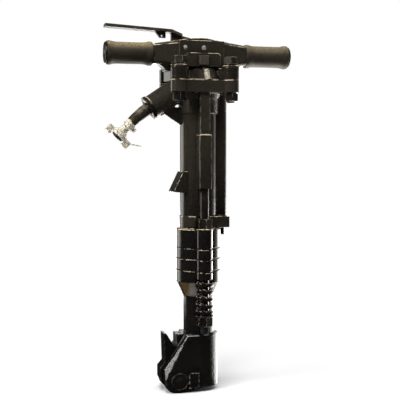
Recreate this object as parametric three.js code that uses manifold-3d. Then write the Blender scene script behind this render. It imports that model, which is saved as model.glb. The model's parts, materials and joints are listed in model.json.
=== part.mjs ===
// A pneumatic pavement breaker with a cross handle, an inside throttle lever, a swivel air inlet
// and a latch that holds the working steel. X runs along the handle, with the air inlet and the
// latch at -X, Y goes from the front (-Y) to the back, and Z goes up from the foot of the latch
// housing. All lengths are in millimetres and all angles are in degrees.

import * as THREE from 'three';
import { mergeVertices } from 'three/addons/utils/BufferGeometryUtils.js';
import Module from 'manifold-3d';

const wasm = await Module();
wasm.setup();

// General clearances
const gap = 0.3;
const runningGap = 0.5;
const overrun = 2;

// Side counts of round faces, and steps along curves
const barrelSides = 32;
const neckSides = 28;
const boreSides = 24;
const bossSides = 20;
const pipeSides = 18;
const pinSides = 16;
const strainerSides = 14;
const smallSides = 12;
const tinySides = 10;
const wireSides = 5;
const cornerSteps = 6;
const arcSteps = 8;
const eyeSteps = 10;
const pipeSteps = 6;
const clipSteps = 22;
const coilStepsPerTurn = 8;

// Levels up the tool, from the foot to the top of the backhead
const skirtBottom = 8.5;
const housingTop = 109;
const bevelBottom = 180;
const bevelTop = 210;
const frontheadTop = 313;
const barrelBottom = 335;
const barrelTop = 556;
const splitLevel = 592;
const bossTop = 619;
const handleLevel = 643.5;

// Latch housing, at the foot
const skirtRadius = 36.5;
const cavityRadius = 27;
const spigotRadius = 24.8;
const cavityTop = 84;
const cheekFace = skirtRadius;
const cheekInner = 17.3;
const cheekLeft = 73;
const cheekShoulder = 30;
const cheekCornerRadius = 22;
const cheekSlopeBottom = 44;
const plungerBlockLeft = 47;
const plungerBlockRight = 26;
const plungerBlockBottom = 79.5;

// Latch and its pin
const latchPinX = -46;
const latchPinZ = 22.5;
const latchPinRadius = 9;
const latchHalfWidth = 16.5;
const latchArcRadius = 55;
const latchLipReach = 28;
const latchTipX = -72;
const latchTipZ = 111;
const latchTipWidth = 5;
const latchNotchX = -51;
const latchNotchZ = 85;
const latchOuterX = -70;
const latchHeelX = -79;
const latchHeelTop = 46;
const latchHeelBottom = 24;
const latchEyeRadius = 16;
const pinHeadRadius = 17;
const pinHeadThickness = 4.5;
const pinTailLength = 4;
const keeperLeft = 28.4;
const keeperRight = 9;
const keeperBottom = 9;
const keeperTop = 38;
const keeperThickness = 5.5;
const plungerRadius = 5;
const plungerTipRadius = 3.2;
const plungerTipLength = 3;
const plungerTipProud = 2.3;
const plungerX = -37;
const plungerSpringRadius = 3.4;
const plungerSpringWire = 0.8;
const plungerSpringTurns = 3;
const plungerTop = 91;

// Fronthead and the bushing for the steel
const tubeRadius = 29.6;
const frontheadRadius = 43;
const frontheadRim = 3;
const grooveLevels = [232, 254.5, 275];
const grooveWidth = 3;
const grooveDepth = 1.6;
const bushingRadius = 21.5;
const bushingBottom = 96;
const bushingTop = 250;
const steelAcrossFlats = 29;
const frontheadBoreTop = 262;
const pistonGuideRadius = 19.4;

// Side rods with their nuts and springs
const sideRodY = 47.6;
const sideRodRadius = 8;
const sideRodBottom = 114;
const sideRodTop = 412;
const rodBossRadius = 15;
const rodBossBottom = 217;
const springPocketRadius = 18.6;
const springPocketBottom = 176;
const bottomNutLevel = 128;
const bottomNutHeight = 18;
const bottomNutAcrossFlats = 27;
const seatWasherThickness = 3;
const seatWasherRadius = 17;
const springWire = 8.2;
const springMeanRadius = 12.8;
const springTurns = 4.75;
const jamNutHeight = 19;
const jamNutAcrossFlats = 24;

// Cylinder
const barrelRadius = 35.4;
const collarRadius = 38.5;
const collarBottom = 531;
const flangeThickness = 23.5;
const flangeHalfWidth = 57;
const boltSpacing = 50;
const boltBossRadius = 15.6;
const boreRadius = 28.3;
const boreBottom = 348;
const padWidth = 23.8;
const padTop = 490;
const padBottom = 388;
const padFace = 57.5;
const ribWidth = 19.8;
const ribFace = 53;
const lowerRibWidth = 13.5;
const lowerRibFace = 37.5;
const passageX = 44;
const passageRadius = 11.5;
const passageRidgeRadius = 6;
const passageRidgeX = 50;
const lowerFlangeRadius = 37;
const lowerFlangeRight = 54;
const lowerFlangeHalfWidth = 30;
const notchWidth = 29;
const passagePlugRadius = 4.2;
const passagePlugX = frontheadRadius + passagePlugRadius + runningGap;
const passagePlugDrop = 15;
const passagePlugDepth = 16;

// Exhaust deflector on the left of the barrel
const deflectorTop = 421;
const deflectorBottom = 382;
const deflectorDip = 6;
const deflectorReach = 54;
const deflectorHalfWidth = 24;
const deflectorWall = 3.5;
const exhaustPortHeight = 18;
const exhaustPortHalfWidth = 11;
const exhaustPortBottom = 388;

// Piston and valve group inside the cylinder
const pistonHeadRadius = 28;
const pistonHeadLength = 78;
const pistonStemRadius = 19;
const pistonBottom = 252;
const pistonHeadBottom = 352;
const pistonEdge = 2;
const valveBoreRadius = 33;
const valveSeatBottom = 556.3;
const valveSeatThickness = 9;
const valveSeatHole = 9;
const valvePlateRadius = 20;
const valvePlateThickness = 3;
const valvePlateTravel = 3;

// Bolts and nuts that join the backhead and the cylinder
const boltRadius = 8;
const boltHeadAcrossFlats = 24;
const boltHeadHeight = 13;
const lockWasherThickness = 3;
const lockWasherRadius = 12.6;
const boltNutHeight = 16;
const boltTail = 3;

// Backhead, a casting with a handle arm at each side
const neckRadius = 43;
const neckFootRadius = 53;
const beamHalfWidth = 27;
const beamTopCentre = 674.5;
const beamTopEnd = 661.5;
const shoulderX = 91;
const armRootHeight = 24.3;
const armRootDepth = 25.5;
const armCorner = 5;
const armTaperShare = 0.25;
const armRootX = 44;
const coreRadius = 13.5;
const padHalfWidth = 33;
const padLow = 617;
const padHigh = 643;
const padProud = 42;
const padBevel = 4;
const underarmX = 66;
const underarmZ = 603;
const underarmEnd = 624;
const archHalfWidth = 14;
const beamCentreFlat = 12;
const beamBottom = 613;
const beamShoulder = 668;
const bossRibDrop = 4;
const boltHeadRoom = 1.5;

// Rubber grips and their end caps
const gripOuter = 178;
const gripFlareRadius = 22.8;
const gripWaistRadius = 20.4;
const gripFlareLength = 7;
const gripBoreRadius = 13.9;
const gripRimRound = 1.2;
const endCapThickness = 3.4;
const endCapRadius = 20.6;

// Throttle lever, its pins and the valve below it
const pivotX = 4;
const pivotRise = 11.5;
const pivotZ = handleLevel + pivotRise;
const leverPinRadius = 3.5;
const leverPinHalfLength = 27.6;
const stopPinX = -32;
const leverTravelShare = 0.135;
const leverWidth = 24;
const leverThickness = 5.6;
const leverTipX = -181;
const leverTipRise = 41.5;
const leverTipZ = pivotZ + leverTipRise;
const leverBendX = -54;
const leverBendRise = 34.5;
const leverBendZ = pivotZ + leverBendRise;
const leverFootX = -34;
const leverFootRise = 26.5;
const leverFootZ = pivotZ + leverFootRise;
const leverWebHalfWidth = 4.5;
const leverSlotHalfWidth = 5.2;
const leverSlotDrop = 17;
const leverSlotFloor = pivotZ - leverSlotDrop;
const leverEyeRadius = 10;
const leverWebDrop = 9;
const leverWebBottom = pivotZ - leverWebDrop;
const leverWebLeft = 40;
const leverShoulderRise = 14;
const leverWebShoulder = pivotZ + leverShoulderRise;
const leverCrownX = -8;
const leverCrownRise = 18;
const leverCrownZ = pivotZ + leverCrownRise;
const leverLugLeft = -86;
const leverLugRight = -65;
const leverLugRise = 18.5;
const leverLugBottom = pivotZ + leverLugRise;
const leverLugHoleRadius = 2;
const leverNoseRadius = 3;
const leverNoseProud = 1.4;
const pushPinX = -14;
const pushPinRadius = 3;
const pushPinBottom = 617;
const throttleBoreRadius = 12;
const throttleBoreTop = 617;
const throttleValveRadius = 9.5;
const throttleValveThickness = 5;
const throttleStemRadius = 4;
const throttleStemLength = 5;
const throttleSpringRadius = 6.5;
const throttleSpringWire = 1.2;
const throttleSpringTurns = 3;
const throttleCapThickness = 3.5;

// Oil plug in the front pad
const oilPlugX = -1;
const oilPlugZ = 629;
const oilPlugSquare = 17.5;
const oilPlugHeadDepth = 8;
const oilPlugStemRadius = 8;
const oilPlugStemLength = 14;

// Air inlet: a stub on the cylinder, a swivel nut and a bent pipe
const inletSlope = 32;
const inletEndX = -93;
const inletEndZ = 543;
const stubRadius = 22;
const stubRootRadius = 25;
const stubLength = 84;
const stubBoreRadius = 15.5;
const stubBoreDepth = 40;
const inletWebThickness = 12;
const inletWebLow = 509;
const swivelNutRadius = 23.8;
const swivelNutThickness = 6.6;
const pipeCollarRadius = 15;
const pipeCollarThickness = 4;
const pipeStartRadius = 12.9;
const pipeEndRadius = 10.2;
const pipeBend = 13;
const pipeBendRadius = 215;
const pipeBoreRadius = 7.5;
const sealThickness = 2.4;
const strainerLength = 26;
const strainerRimRadius = 15;
const strainerWall = 1;
const lockScrewRadius = 3.6;
const lockScrewLength = 9;
const lockScrewSetback = 11;

// Claw coupling for the air hose
const collarAcrossFlats = 21;
const collarLength = 12;
const couplingNeckRadius = 9.2;
const couplingNeckLength = 9;
const couplingHeadRadius = 16.5;
const couplingHeadLength = 15.5;
const couplingBoreRadius = 6.5;
const clawReach = 27;
const clawHalfWidth = 8;
const clawThickness = 7.5;
const clawOverhang = 7;
const clawHook = 5;
const couplingSealRadius = 12;
const couplingSealThickness = 6;
const couplingSealProud = 2.5;
const clampScrewRadius = 2.8;
const clampScrewReach = 17;
const clipWire = 1.6;
const clipLength = 24;
const clipWidth = 7;
const clipLift = 35;

// Materials
function finish(color, roughness, metalness) {
  return new THREE.MeshStandardMaterial({ color, roughness, metalness });
}
const blackPaint = finish(0x131312, 0.28, 0.1);
const rubber = finish(0x2b2723, 0.8, 0);
const zinc = finish(0xa9abaa, 0.42, 0.9);
const steel = finish(0x6f6b66, 0.35, 0.9);
const darkSteel = finish(0x24221f, 0.4, 0.6);
const sealRubber = finish(0x151515, 0.7, 0);
const brass = finish(0x9a7b45, 0.4, 0.8);

// Solids: geometry becomes a closed manifold for cuts and joins, then a named mesh again
function solid(geometry) {
  const bare = geometry.index ? geometry.toNonIndexed() : geometry.clone();
  bare.deleteAttribute('normal');
  bare.deleteAttribute('uv');
  const welded = mergeVertices(bare, 1e-4);
  const mesh = new wasm.Mesh({
    numProp: 3,
    vertProperties: new Float32Array(welded.attributes.position.array),
    triVerts: new Uint32Array(welded.index.array),
  });
  return new wasm.Manifold(mesh);
}

function join(first, ...others) {
  return others.reduce((whole, next) => whole.add(next), first);
}

function cut(first, ...tools) {
  return tools.reduce((whole, next) => whole.subtract(next), first);
}

function piece(name, manifold, material) {
  const result = manifold.getMesh();
  const geometry = new THREE.BufferGeometry();
  geometry.setAttribute('position', new THREE.BufferAttribute(new Float32Array(result.vertProperties), 3));
  geometry.setIndex(new THREE.BufferAttribute(new Uint32Array(result.triVerts), 1));
  geometry.computeVertexNormals();
  const mesh = new THREE.Mesh(geometry, material);
  mesh.name = name;
  return mesh;
}

// Basic shapes, each placed by its own values
function upright(geometry) {
  return geometry.rotateX(Math.PI / 2);
}

function rod(radius, from, to, x = 0, y = 0, sides = pinSides, topRadius = radius) {
  const geometry = new THREE.CylinderGeometry(topRadius, radius, to - from, sides);
  return solid(upright(geometry).translate(x, y, (from + to) / 2));
}

function rodAlongY(radius, from, to, x, z, sides = pinSides) {
  const geometry = new THREE.CylinderGeometry(radius, radius, to - from, sides);
  return solid(geometry.translate(x, (from + to) / 2, z));
}

function rodAlongX(radius, from, to, z, sides = pinSides, endRadius = radius) {
  const geometry = new THREE.CylinderGeometry(endRadius, radius, to - from, sides);
  return solid(geometry.rotateZ(-Math.PI / 2).translate((from + to) / 2, 0, z));
}

function block(left, right, front, back, bottom, top) {
  const geometry = new THREE.BoxGeometry(right - left, back - front, top - bottom);
  return solid(geometry.translate((left + right) / 2, (front + back) / 2, (bottom + top) / 2));
}

function hexagon(acrossFlats, from, to, x = 0, y = 0) {
  return rod(acrossFlats / Math.sqrt(3), from, to, x, y, 6);
}

// A profile of [radius, level] pairs that starts and ends on the axis, turned about Z
function turned(profile, sides = neckSides) {
  const points = profile.map(([radius, level]) => new THREE.Vector2(radius, level));
  return solid(upright(new THREE.LatheGeometry(points, sides)));
}

function ring(outer, inner, from, to, sides = pinSides) {
  return cut(rod(outer, from, to, 0, 0, sides), rod(inner, from - overrun, to + overrun, 0, 0, sides));
}

// An outline in the XZ plane, extruded along Y
function plate(shape, front, back, curveSegments = 8) {
  const geometry = new THREE.ExtrudeGeometry(shape, { depth: back - front, bevelEnabled: false,
    curveSegments });
  return solid(geometry.rotateX(Math.PI / 2).translate(0, back, 0));
}

function outline(points) {
  return new THREE.Shape(points.map(([x, z]) => new THREE.Vector2(x, z)));
}

// A tube that follows a curve, with a radius that can change on the way and flat ends
function tubeAlong(curve, radiusAt, steps, sides) {
  const frames = curve.computeFrenetFrames(steps, false);
  const positions = [];
  const faces = [];
  for (let step = 0; step <= steps; step += 1) {
    const centre = curve.getPointAt(step / steps);
    const radius = radiusAt(step / steps);
    for (let side = 0; side < sides; side += 1) {
      const turn = (2 * Math.PI * side) / sides;
      const spoke = frames.normals[step].clone().multiplyScalar(Math.cos(turn) * radius);
      spoke.addScaledVector(frames.binormals[step], Math.sin(turn) * radius);
      positions.push(...centre.clone().add(spoke).toArray());
    }
  }
  for (let step = 0; step < steps; step += 1) {
    for (let side = 0; side < sides; side += 1) {
      const here = step * sides + side;
      const beside = step * sides + ((side + 1) % sides);
      faces.push(here, beside, here + sides, beside, beside + sides, here + sides);
    }
  }
  const last = steps * sides;
  for (let side = 1; side < sides - 1; side += 1) {
    faces.push(0, side + 1, side, last, last + side, last + side + 1);
  }
  const geometry = new THREE.BufferGeometry();
  geometry.setAttribute('position', new THREE.Float32BufferAttribute(positions, 3));
  geometry.setIndex(faces);
  const closed = solid(geometry);
  return closed;
}

class Helix extends THREE.Curve {
  constructor(radius, bottom, top, turns) {
    super();
    this.radius = radius;
    this.bottom = bottom;
    this.top = top;
    this.turns = turns;
  }

  getPoint(share) {
    const turn = -2 * Math.PI * this.turns * share;
    const level = this.bottom + (this.top - this.bottom) * share;
    return new THREE.Vector3(Math.cos(turn) * this.radius, Math.sin(turn) * this.radius, level);
  }
}

// The least distance between the wire of one turn and the next, measured on points of the coil
function leastCoilGap(coil, wire) {
  const samplesPerTurn = 24;
  const samples = Math.round(coil.turns * samplesPerTurn);
  const points = coil.getPoints(samples);
  let least = Infinity;
  for (let first = 0; first <= samples; first += 1) {
    for (let second = first + samplesPerTurn / 2; second <= samples; second += 1) {
      least = Math.min(least, points[first].distanceTo(points[second]));
    }
  }
  return least - wire;
}

function coilSpring(name, radius, wire, bottom, top, turns) {
  const coil = new Helix(radius, bottom + wire / 2, top - wire / 2, turns);
  const spring = tubeAlong(coil, () => wire / 2, Math.round(turns * coilStepsPerTurn), wireSides);
  console.log(`${name}: least gap between turns ${leastCoilGap(coil, wire).toFixed(2)} mm`);
  return piece(name, spring, darkSteel);
}

// Latch housing: a round skirt with two cheeks at its left that hold the latch between them
function makeLatchHousing() {
  const skirt = rod(skirtRadius, skirtBottom, housingTop, 0, 0, barrelSides);
  const cheekOutline = new THREE.Shape();
  cheekOutline.moveTo(0, skirtBottom);
  cheekOutline.lineTo(-cheekShoulder, 0);
  cheekOutline.lineTo(cheekCornerRadius - cheekLeft, 0);
  cheekOutline.quadraticCurveTo(-cheekLeft, 0, -cheekLeft, cheekCornerRadius);
  cheekOutline.lineTo(-cheekLeft, cheekSlopeBottom);
  cheekOutline.lineTo(-cheekShoulder, housingTop - gap);
  cheekOutline.lineTo(0, housingTop - gap);
  const cheeks = plate(cheekOutline, -cheekFace, cheekFace, cornerSteps);
  const slotTop = housingTop + overrun;
  const slot = block(-cheekLeft - overrun, 0, -cheekInner, cheekInner, -overrun, slotTop);
  const plungerBlock = block(
    -plungerBlockLeft, -plungerBlockRight, -cheekInner - gap, cheekInner + gap, plungerBlockBottom,
      housingTop,
  );
  const cavity = rod(cavityRadius, -overrun, cavityTop, 0, 0, boreSides);
  const socket = rod(spigotRadius + gap, cavityTop - overrun, housingTop + overrun, 0, 0, boreSides);
  const pinBore = rodAlongY(latchPinRadius + gap, -cheekFace - overrun, cheekFace + overrun, latchPinX,
    latchPinZ);
  const plungerBore = rod(plungerRadius + gap, plungerBlockBottom + plungerTipLength, plungerTop,
    plungerX, 0, tinySides);
  const tipBore = rod(plungerTipRadius + gap, plungerBlockBottom - overrun, housingTop + overrun,
    plungerX, 0, tinySides);
  const whole = cut(join(skirt, cheeks), slot, cavity);
  const blocked = join(whole, cut(plungerBlock, socket));
  return piece('latch_housing', cut(blocked, socket, pinBore, plungerBore, tipBore), blackPaint);
}

// The latch turns about its pin, and its lip rises along an arc about the pin
function makeLatch() {
  const shape = new THREE.Shape();
  const lipAngle = Math.acos(latchLipReach / latchArcRadius);
  const arcStart = Math.acos((latchNotchX - latchPinX) / latchArcRadius);
  const lipZ = latchPinZ + Math.sin(lipAngle) * latchArcRadius;
  const lipThickness = latchTipWidth * 2;
  shape.moveTo(latchTipX, latchTipZ);
  shape.lineTo(latchOuterX, latchHeelTop + lipThickness);
  shape.lineTo(latchHeelX, latchHeelTop);
  shape.lineTo(latchHeelX, latchHeelBottom);
  shape.lineTo(latchPinX - latchEyeRadius, latchPinZ);
  shape.absarc(latchPinX, latchPinZ, latchEyeRadius, Math.PI, 2 * Math.PI, false);
  shape.lineTo(latchPinX + latchEyeRadius, latchPinZ + latchEyeRadius);
  shape.lineTo(latchPinX + latchLipReach, lipZ - lipThickness);
  shape.absarc(latchPinX, latchPinZ, latchArcRadius, lipAngle, arcStart, false);
  shape.lineTo(latchNotchX, latchNotchZ);
  shape.lineTo(latchTipX + latchTipWidth, latchTipZ);
  const body = plate(shape, -latchHalfWidth, latchHalfWidth, arcSteps);
  const bore = rodAlongY(latchPinRadius + gap, -cheekFace, cheekFace, latchPinX, latchPinZ);
  return piece('latch', cut(body, bore), blackPaint);
}

function makeLatchPin() {
  const tail = cheekFace + pinTailLength;
  const shank = rodAlongY(latchPinRadius, -cheekFace - gap - pinHeadThickness, tail, latchPinX, latchPinZ);
  const headBack = -cheekFace - gap;
  const head = rodAlongY(pinHeadRadius, headBack - pinHeadThickness, headBack, latchPinX, latchPinZ,
    boreSides);
  return piece('latch_pin', join(shank, head), blackPaint);
}

function makePinKeeper() {
  const back = -cheekFace;
  const bar = block(-keeperLeft, -keeperRight, back - keeperThickness, back, keeperBottom, keeperTop);
  return piece('pin_keeper', bar, blackPaint);
}

// A sprung plunger above the latch: its collar rests on the step of its bore
function makeLatchPlunger() {
  const bodyBottom = plungerBlockBottom + plungerTipLength + gap;
  const bodyTop = bodyBottom + plungerTipLength;
  const tip = rod(plungerTipRadius, plungerBlockBottom - plungerTipProud, bodyTop, plungerX, 0, tinySides);
  const body = rod(plungerRadius, bodyBottom, bodyTop, plungerX, 0, tinySides);
  const spring = coilSpring(
    'latch_plunger_spring', plungerSpringRadius, plungerSpringWire, bodyTop + gap, plungerTop - gap,
    plungerSpringTurns,
  );
  spring.position.x = plungerX;
  return [piece('latch_plunger', join(tip, body), steel), spring];
}

// Fronthead: bosses for the side rods, three grooves, a bevel and a tube that ends in a spigot
function makeFronthead() {
  const profile = [[0, cavityTop + gap], [spigotRadius, cavityTop + gap], [spigotRadius, housingTop + gap]];
  profile.push([tubeRadius, housingTop + gap], [tubeRadius, bevelBottom], [frontheadRadius, bevelTop]);
  for (const level of grooveLevels) {
    profile.push([frontheadRadius, level - grooveWidth / 2]);
    profile.push([frontheadRadius - grooveDepth, level]);
    profile.push([frontheadRadius, level + grooveWidth / 2]);
  }
  profile.push([frontheadRadius, frontheadTop - frontheadRim]);
  profile.push([frontheadRadius - frontheadRim, frontheadTop], [0, frontheadTop]);
  let body = turned(profile, barrelSides);
  for (const side of [-1, 1]) {
    const boss = rod(rodBossRadius, rodBossBottom - overrun, frontheadTop, 0, side * sideRodY, bossSides);
    body = join(body, boss);
  }
  for (const side of [-1, 1]) {
    const rodBore = rod(sideRodRadius + runningGap, housingTop, frontheadTop + overrun, 0, side * sideRodY);
    const pocket = rod(springPocketRadius, springPocketBottom, rodBossBottom, 0, side * sideRodY,
      bossSides);
    body = cut(body, rodBore, pocket);
  }
  const bushingBore = rod(bushingRadius + gap, cavityTop, frontheadBoreTop, 0, 0, bossSides);
  const stemBore = rod(pistonGuideRadius, frontheadBoreTop - overrun, frontheadTop + overrun, 0, 0,
    boreSides);
  return piece('fronthead', cut(body, bushingBore, stemBore), blackPaint);
}

function makeChuckBushing() {
  const body = rod(bushingRadius, bushingBottom, bushingTop, 0, 0, bossSides);
  const socket = hexagon(steelAcrossFlats, bushingBottom - overrun, bushingTop + overrun);
  return piece('chuck_bushing', cut(body, socket), steel);
}

// Side rods: each hangs from a pad on the cylinder and carries a spring below the fronthead
function makeSideRodSet(label, y) {
  const shaft = rod(sideRodRadius, sideRodBottom, sideRodTop, 0, y, pinSides);
  const springBottom = bottomNutLevel + bottomNutHeight + seatWasherThickness;
  const rodHole = rod(sideRodRadius + gap, 0, sideRodTop, 0, y, pinSides);
  const jamNut = hexagon(jamNutAcrossFlats, frontheadTop + gap, frontheadTop + gap + jamNutHeight, 0, y);
  const bottomNut = hexagon(bottomNutAcrossFlats, bottomNutLevel, bottomNutLevel + bottomNutHeight, 0, y);
  const washer = rod(seatWasherRadius, springBottom - seatWasherThickness, springBottom, 0, y);
  const spring = coilSpring(
    `side_spring_${label}`, springMeanRadius, springWire, springBottom + gap, rodBossBottom - gap,
      springTurns,
  );
  spring.position.y = y;
  return [
    piece(`side_rod_${label}`, shaft, darkSteel),
    piece(`side_rod_jam_nut_${label}`, cut(jamNut, rodHole), blackPaint),
    piece(`side_rod_nut_${label}`, cut(bottomNut, rodHole), blackPaint),
    piece(`spring_washer_${label}`, cut(washer, rodHole), darkSteel),
    spring,
  ];
}

// Cylinder: barrel, side rod pads, air passage, flanges and the stub for the air inlet
function makeCylinder() {
  const flangeBottom = splitLevel - flangeThickness;
  let body = turned([
    [0, frontheadTop + gap], [lowerFlangeRadius, frontheadTop + gap], [lowerFlangeRadius, barrelBottom],
    [barrelRadius, barrelBottom + gap], [barrelRadius, collarBottom], [collarRadius, collarBottom],
    [collarRadius, barrelTop], [neckRadius, flangeBottom], [neckRadius, splitLevel], [0, splitLevel],
  ], barrelSides);
  const half = flangeHalfWidth;
  const flange = block(-half, half, -half, half, flangeBottom, splitLevel);
  const corner = half + boltBossRadius;
  body = join(body, flange);
  for (const x of [-boltSpacing, boltSpacing]) {
    for (const y of [-boltSpacing, boltSpacing]) {
      const outer = block(
        Math.min(x, Math.sign(x) * corner), Math.max(x, Math.sign(x) * corner),
        Math.min(y, Math.sign(y) * corner), Math.max(y, Math.sign(y) * corner),
        flangeBottom - overrun, splitLevel + overrun,
      );
      body = join(cut(body, outer), rod(boltBossRadius, flangeBottom, splitLevel, x, y, bossSides));
    }
  }
  for (const side of [-1, 1]) {
    const rib = (width, face, from, to) => block(
      -width / 2, width / 2, Math.min(0, side * face), Math.max(0, side * face), from, to,
    );
    const upperRib = rib(ribWidth, ribFace, padTop, flangeBottom);
    const pad = rib(padWidth, padFace, padBottom, padTop);
    const lowerRib = rib(lowerRibWidth, lowerRibFace, barrelBottom, padBottom);
    body = join(body, upperRib, pad, lowerRib);
  }
  const passage = join(
    rod(passageRadius, barrelBottom, flangeBottom, passageX, 0),
    block(0, passageX, -passageRadius, passageRadius, barrelBottom, flangeBottom),
    rod(passageRidgeRadius, barrelBottom, flangeBottom, passageRidgeX, 0, pinSides),
  );
  const lowerFlange = block(
    0, lowerFlangeRight, -lowerFlangeHalfWidth, lowerFlangeHalfWidth, frontheadTop + gap, barrelBottom,
  );
  const aboveSplit = block(
    inletEndX, -inletEndX, -flangeHalfWidth, flangeHalfWidth, splitLevel, splitLevel + stubLength,
  );
  body = join(body, passage, lowerFlange, cut(makeInletStub(), aboveSplit));
  const tools = [
    rod(boreRadius, boreBottom, barrelTop + overrun, 0, 0, boreSides),
    rod(valveBoreRadius, valveSeatBottom - gap, splitLevel + overrun, 0, 0, boreSides),
    rod(pistonGuideRadius, frontheadTop - overrun, boreBottom + overrun, 0, 0, boreSides),
    makeInletBore(),
    block(
      -lowerFlangeRight, 0, -exhaustPortHalfWidth, exhaustPortHalfWidth,
      exhaustPortBottom, exhaustPortBottom + exhaustPortHeight,
    ),
    rod(passagePlugRadius + gap, frontheadTop - overrun, frontheadTop + passagePlugDepth, passagePlugX,
      0, pinSides),
  ];
  for (const side of [-1, 1]) {
    const y = side * sideRodY;
    const notchFront = Math.min(side * lowerFlangeRadius * 2, side * (sideRodY - notchWidth / 2));
    const notchBack = Math.max(side * lowerFlangeRadius * 2, side * (sideRodY - notchWidth / 2));
    tools.push(rod(sideRodRadius + gap, frontheadTop - overrun, sideRodTop + gap, 0, y, pinSides));
    tools.push(block(-notchWidth / 2, notchWidth / 2, notchFront, notchBack, frontheadTop - overrun,
      barrelBottom + 2 * gap));
  }
  for (const x of [-boltSpacing, boltSpacing]) {
    for (const y of [-boltSpacing, boltSpacing]) {
      tools.push(rod(boltRadius + gap, flangeBottom - overrun, splitLevel + overrun, x, y, smallSides));
    }
  }
  return piece('cylinder', cut(body, ...tools), blackPaint);
}

// The inlet frame has its origin at the end of the stub, +Z out along it and +X up and to the left
function inInletFrame(geometry) {
  const slope = THREE.MathUtils.degToRad(inletSlope);
  return solid(geometry.rotateY(-Math.PI / 2 - slope).translate(inletEndX, 0, inletEndZ));
}

function makeInletStub() {
  const stub = upright(new THREE.CylinderGeometry(stubRadius, stubRootRadius, stubLength, boreSides));
  stub.translate(0, 0, -stubLength / 2);
  const web = outline([
    [0, inletWebLow], [-barrelRadius, inletWebLow], [inletEndX + stubRadius, inletEndZ - stubRadius / 2],
    [inletEndX + stubRadius, inletEndZ], [0, inletEndZ],
  ]);
  const half = inletWebThickness / 2;
  return join(inInletFrame(stub), plate(web, -half, half));
}

function makeInletBore() {
  const mouth = upright(new THREE.CylinderGeometry(stubBoreRadius, stubBoreRadius,
    stubBoreDepth + overrun, pinSides));
  mouth.translate(0, 0, (overrun - stubBoreDepth) / 2);
  const duct = upright(new THREE.CylinderGeometry(pipeBoreRadius, pipeBoreRadius, stubLength, smallSides));
  duct.translate(0, 0, -stubLength / 2);
  return join(inInletFrame(mouth), inInletFrame(duct), lockScrewSolid(gap, 2 * overrun));
}

// A screw in the underside of the stub locks the swivel nut
function lockScrewSolid(clearance, extraLength) {
  const radius = lockScrewRadius + clearance;
  const length = lockScrewLength + extraLength;
  const screw = new THREE.CylinderGeometry(radius, radius, length, smallSides).rotateZ(Math.PI / 2);
  const inner = stubBoreRadius + gap - extraLength;
  screw.translate(-inner - length / 2, 0, -lockScrewSetback);
  return inInletFrame(screw);
}

// Exhaust deflector: a hood over the port, open at its foot
function makeExhaustDeflector() {
  const seat = barrelRadius + gap;
  const outer = outline([
    [0, deflectorTop], [-barrelRadius, deflectorTop], [-deflectorReach, deflectorBottom],
    [0, deflectorBottom - deflectorDip],
  ]);
  const wall = deflectorWall;
  const inner = outline([
    [0, deflectorTop - wall * 2], [-barrelRadius + wall, deflectorTop - wall * 2],
    [-deflectorReach + wall, deflectorBottom], [-deflectorReach + wall,
      deflectorBottom - deflectorDip - wall],
    [0, deflectorBottom - deflectorDip - wall],
  ]);
  const half = deflectorHalfWidth;
  const hood = cut(plate(outer, -half, half), plate(inner, wall - half, half - wall));
  const barrel = rod(seat, deflectorBottom - deflectorDip * 2, deflectorTop + overrun, 0, 0, barrelSides);
  const right = block(-seat / 2, seat, -seat, seat, deflectorBottom - deflectorDip * 2,
    deflectorTop + overrun);
  return piece('exhaust_deflector', cut(hood, barrel, right), blackPaint);
}

function makePiston() {
  const top = pistonHeadBottom + pistonHeadLength;
  const head = pistonHeadRadius;
  const stem = pistonStemRadius;
  return piece('piston', turned([
    [0, pistonBottom + gap], [stem - pistonEdge, pistonBottom + gap], [stem,
      pistonBottom + gap + pistonEdge],
    [stem, pistonHeadBottom], [head, pistonHeadBottom], [head, top - pistonEdge], [head - pistonEdge,
      top], [0, top],
  ], boreSides), steel);
}

// Valve group: a plate that shifts between its seat and the chest above
function makeValveGroup() {
  const seatTop = valveSeatBottom + valveSeatThickness;
  const plateRoom = valvePlateThickness + valvePlateTravel + 2 * gap;
  const chestTop = splitLevel - gap;
  const seat = ring(valveBoreRadius - gap, valveSeatHole, valveSeatBottom, seatTop, boreSides);
  const chest = rod(valveBoreRadius - gap, seatTop + gap, chestTop, 0, 0, boreSides);
  const chamber = rod(valvePlateRadius + runningGap, seatTop - overrun, seatTop + plateRoom, 0, 0,
    boreSides);
  const vent = rod(valveSeatHole, seatTop, chestTop + overrun, 0, 0, pinSides);
  const plateBottom = seatTop + gap;
  const disc = rod(valvePlateRadius, plateBottom, plateBottom + valvePlateThickness);
  return [
    piece('valve_seat', seat, steel),
    piece('valve_plate', disc, steel),
    piece('valve_chest', cut(chest, chamber, vent), darkSteel),
  ];
}

// Four bolts clamp the backhead on the cylinder, with a spring washer and a nut on each
function makeBoltSets() {
  const pieces = [];
  const flangeBottom = splitLevel - flangeThickness;
  const places = [['front_left', -1, -1], ['front_right', 1, -1], ['back_left', -1, 1], ['back_right', 1,
    1]];
  for (const [label, sideX, sideY] of places) {
    const x = sideX * boltSpacing;
    const y = sideY * boltSpacing;
    const washerTop = bossTop + gap + lockWasherThickness;
    const shank = rod(boltRadius, flangeBottom - boltNutHeight - boltTail, washerTop + overrun, x, y,
      smallSides);
    const head = hexagon(boltHeadAcrossFlats, washerTop, washerTop + boltHeadHeight, x, y);
    const washer = rod(lockWasherRadius, bossTop + gap, washerTop, x, y, pinSides);
    const nut = hexagon(boltHeadAcrossFlats, flangeBottom - gap - boltNutHeight, flangeBottom - gap, x, y);
    const hole = rod(boltRadius + gap, 0, bossTop, x, y, smallSides);
    pieces.push(piece(`backhead_bolt_${label}`, join(shank, head, washer), darkSteel));
    pieces.push(piece(`backhead_nut_${label}`, cut(nut, hole), darkSteel));
  }
  return pieces;
}

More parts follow.
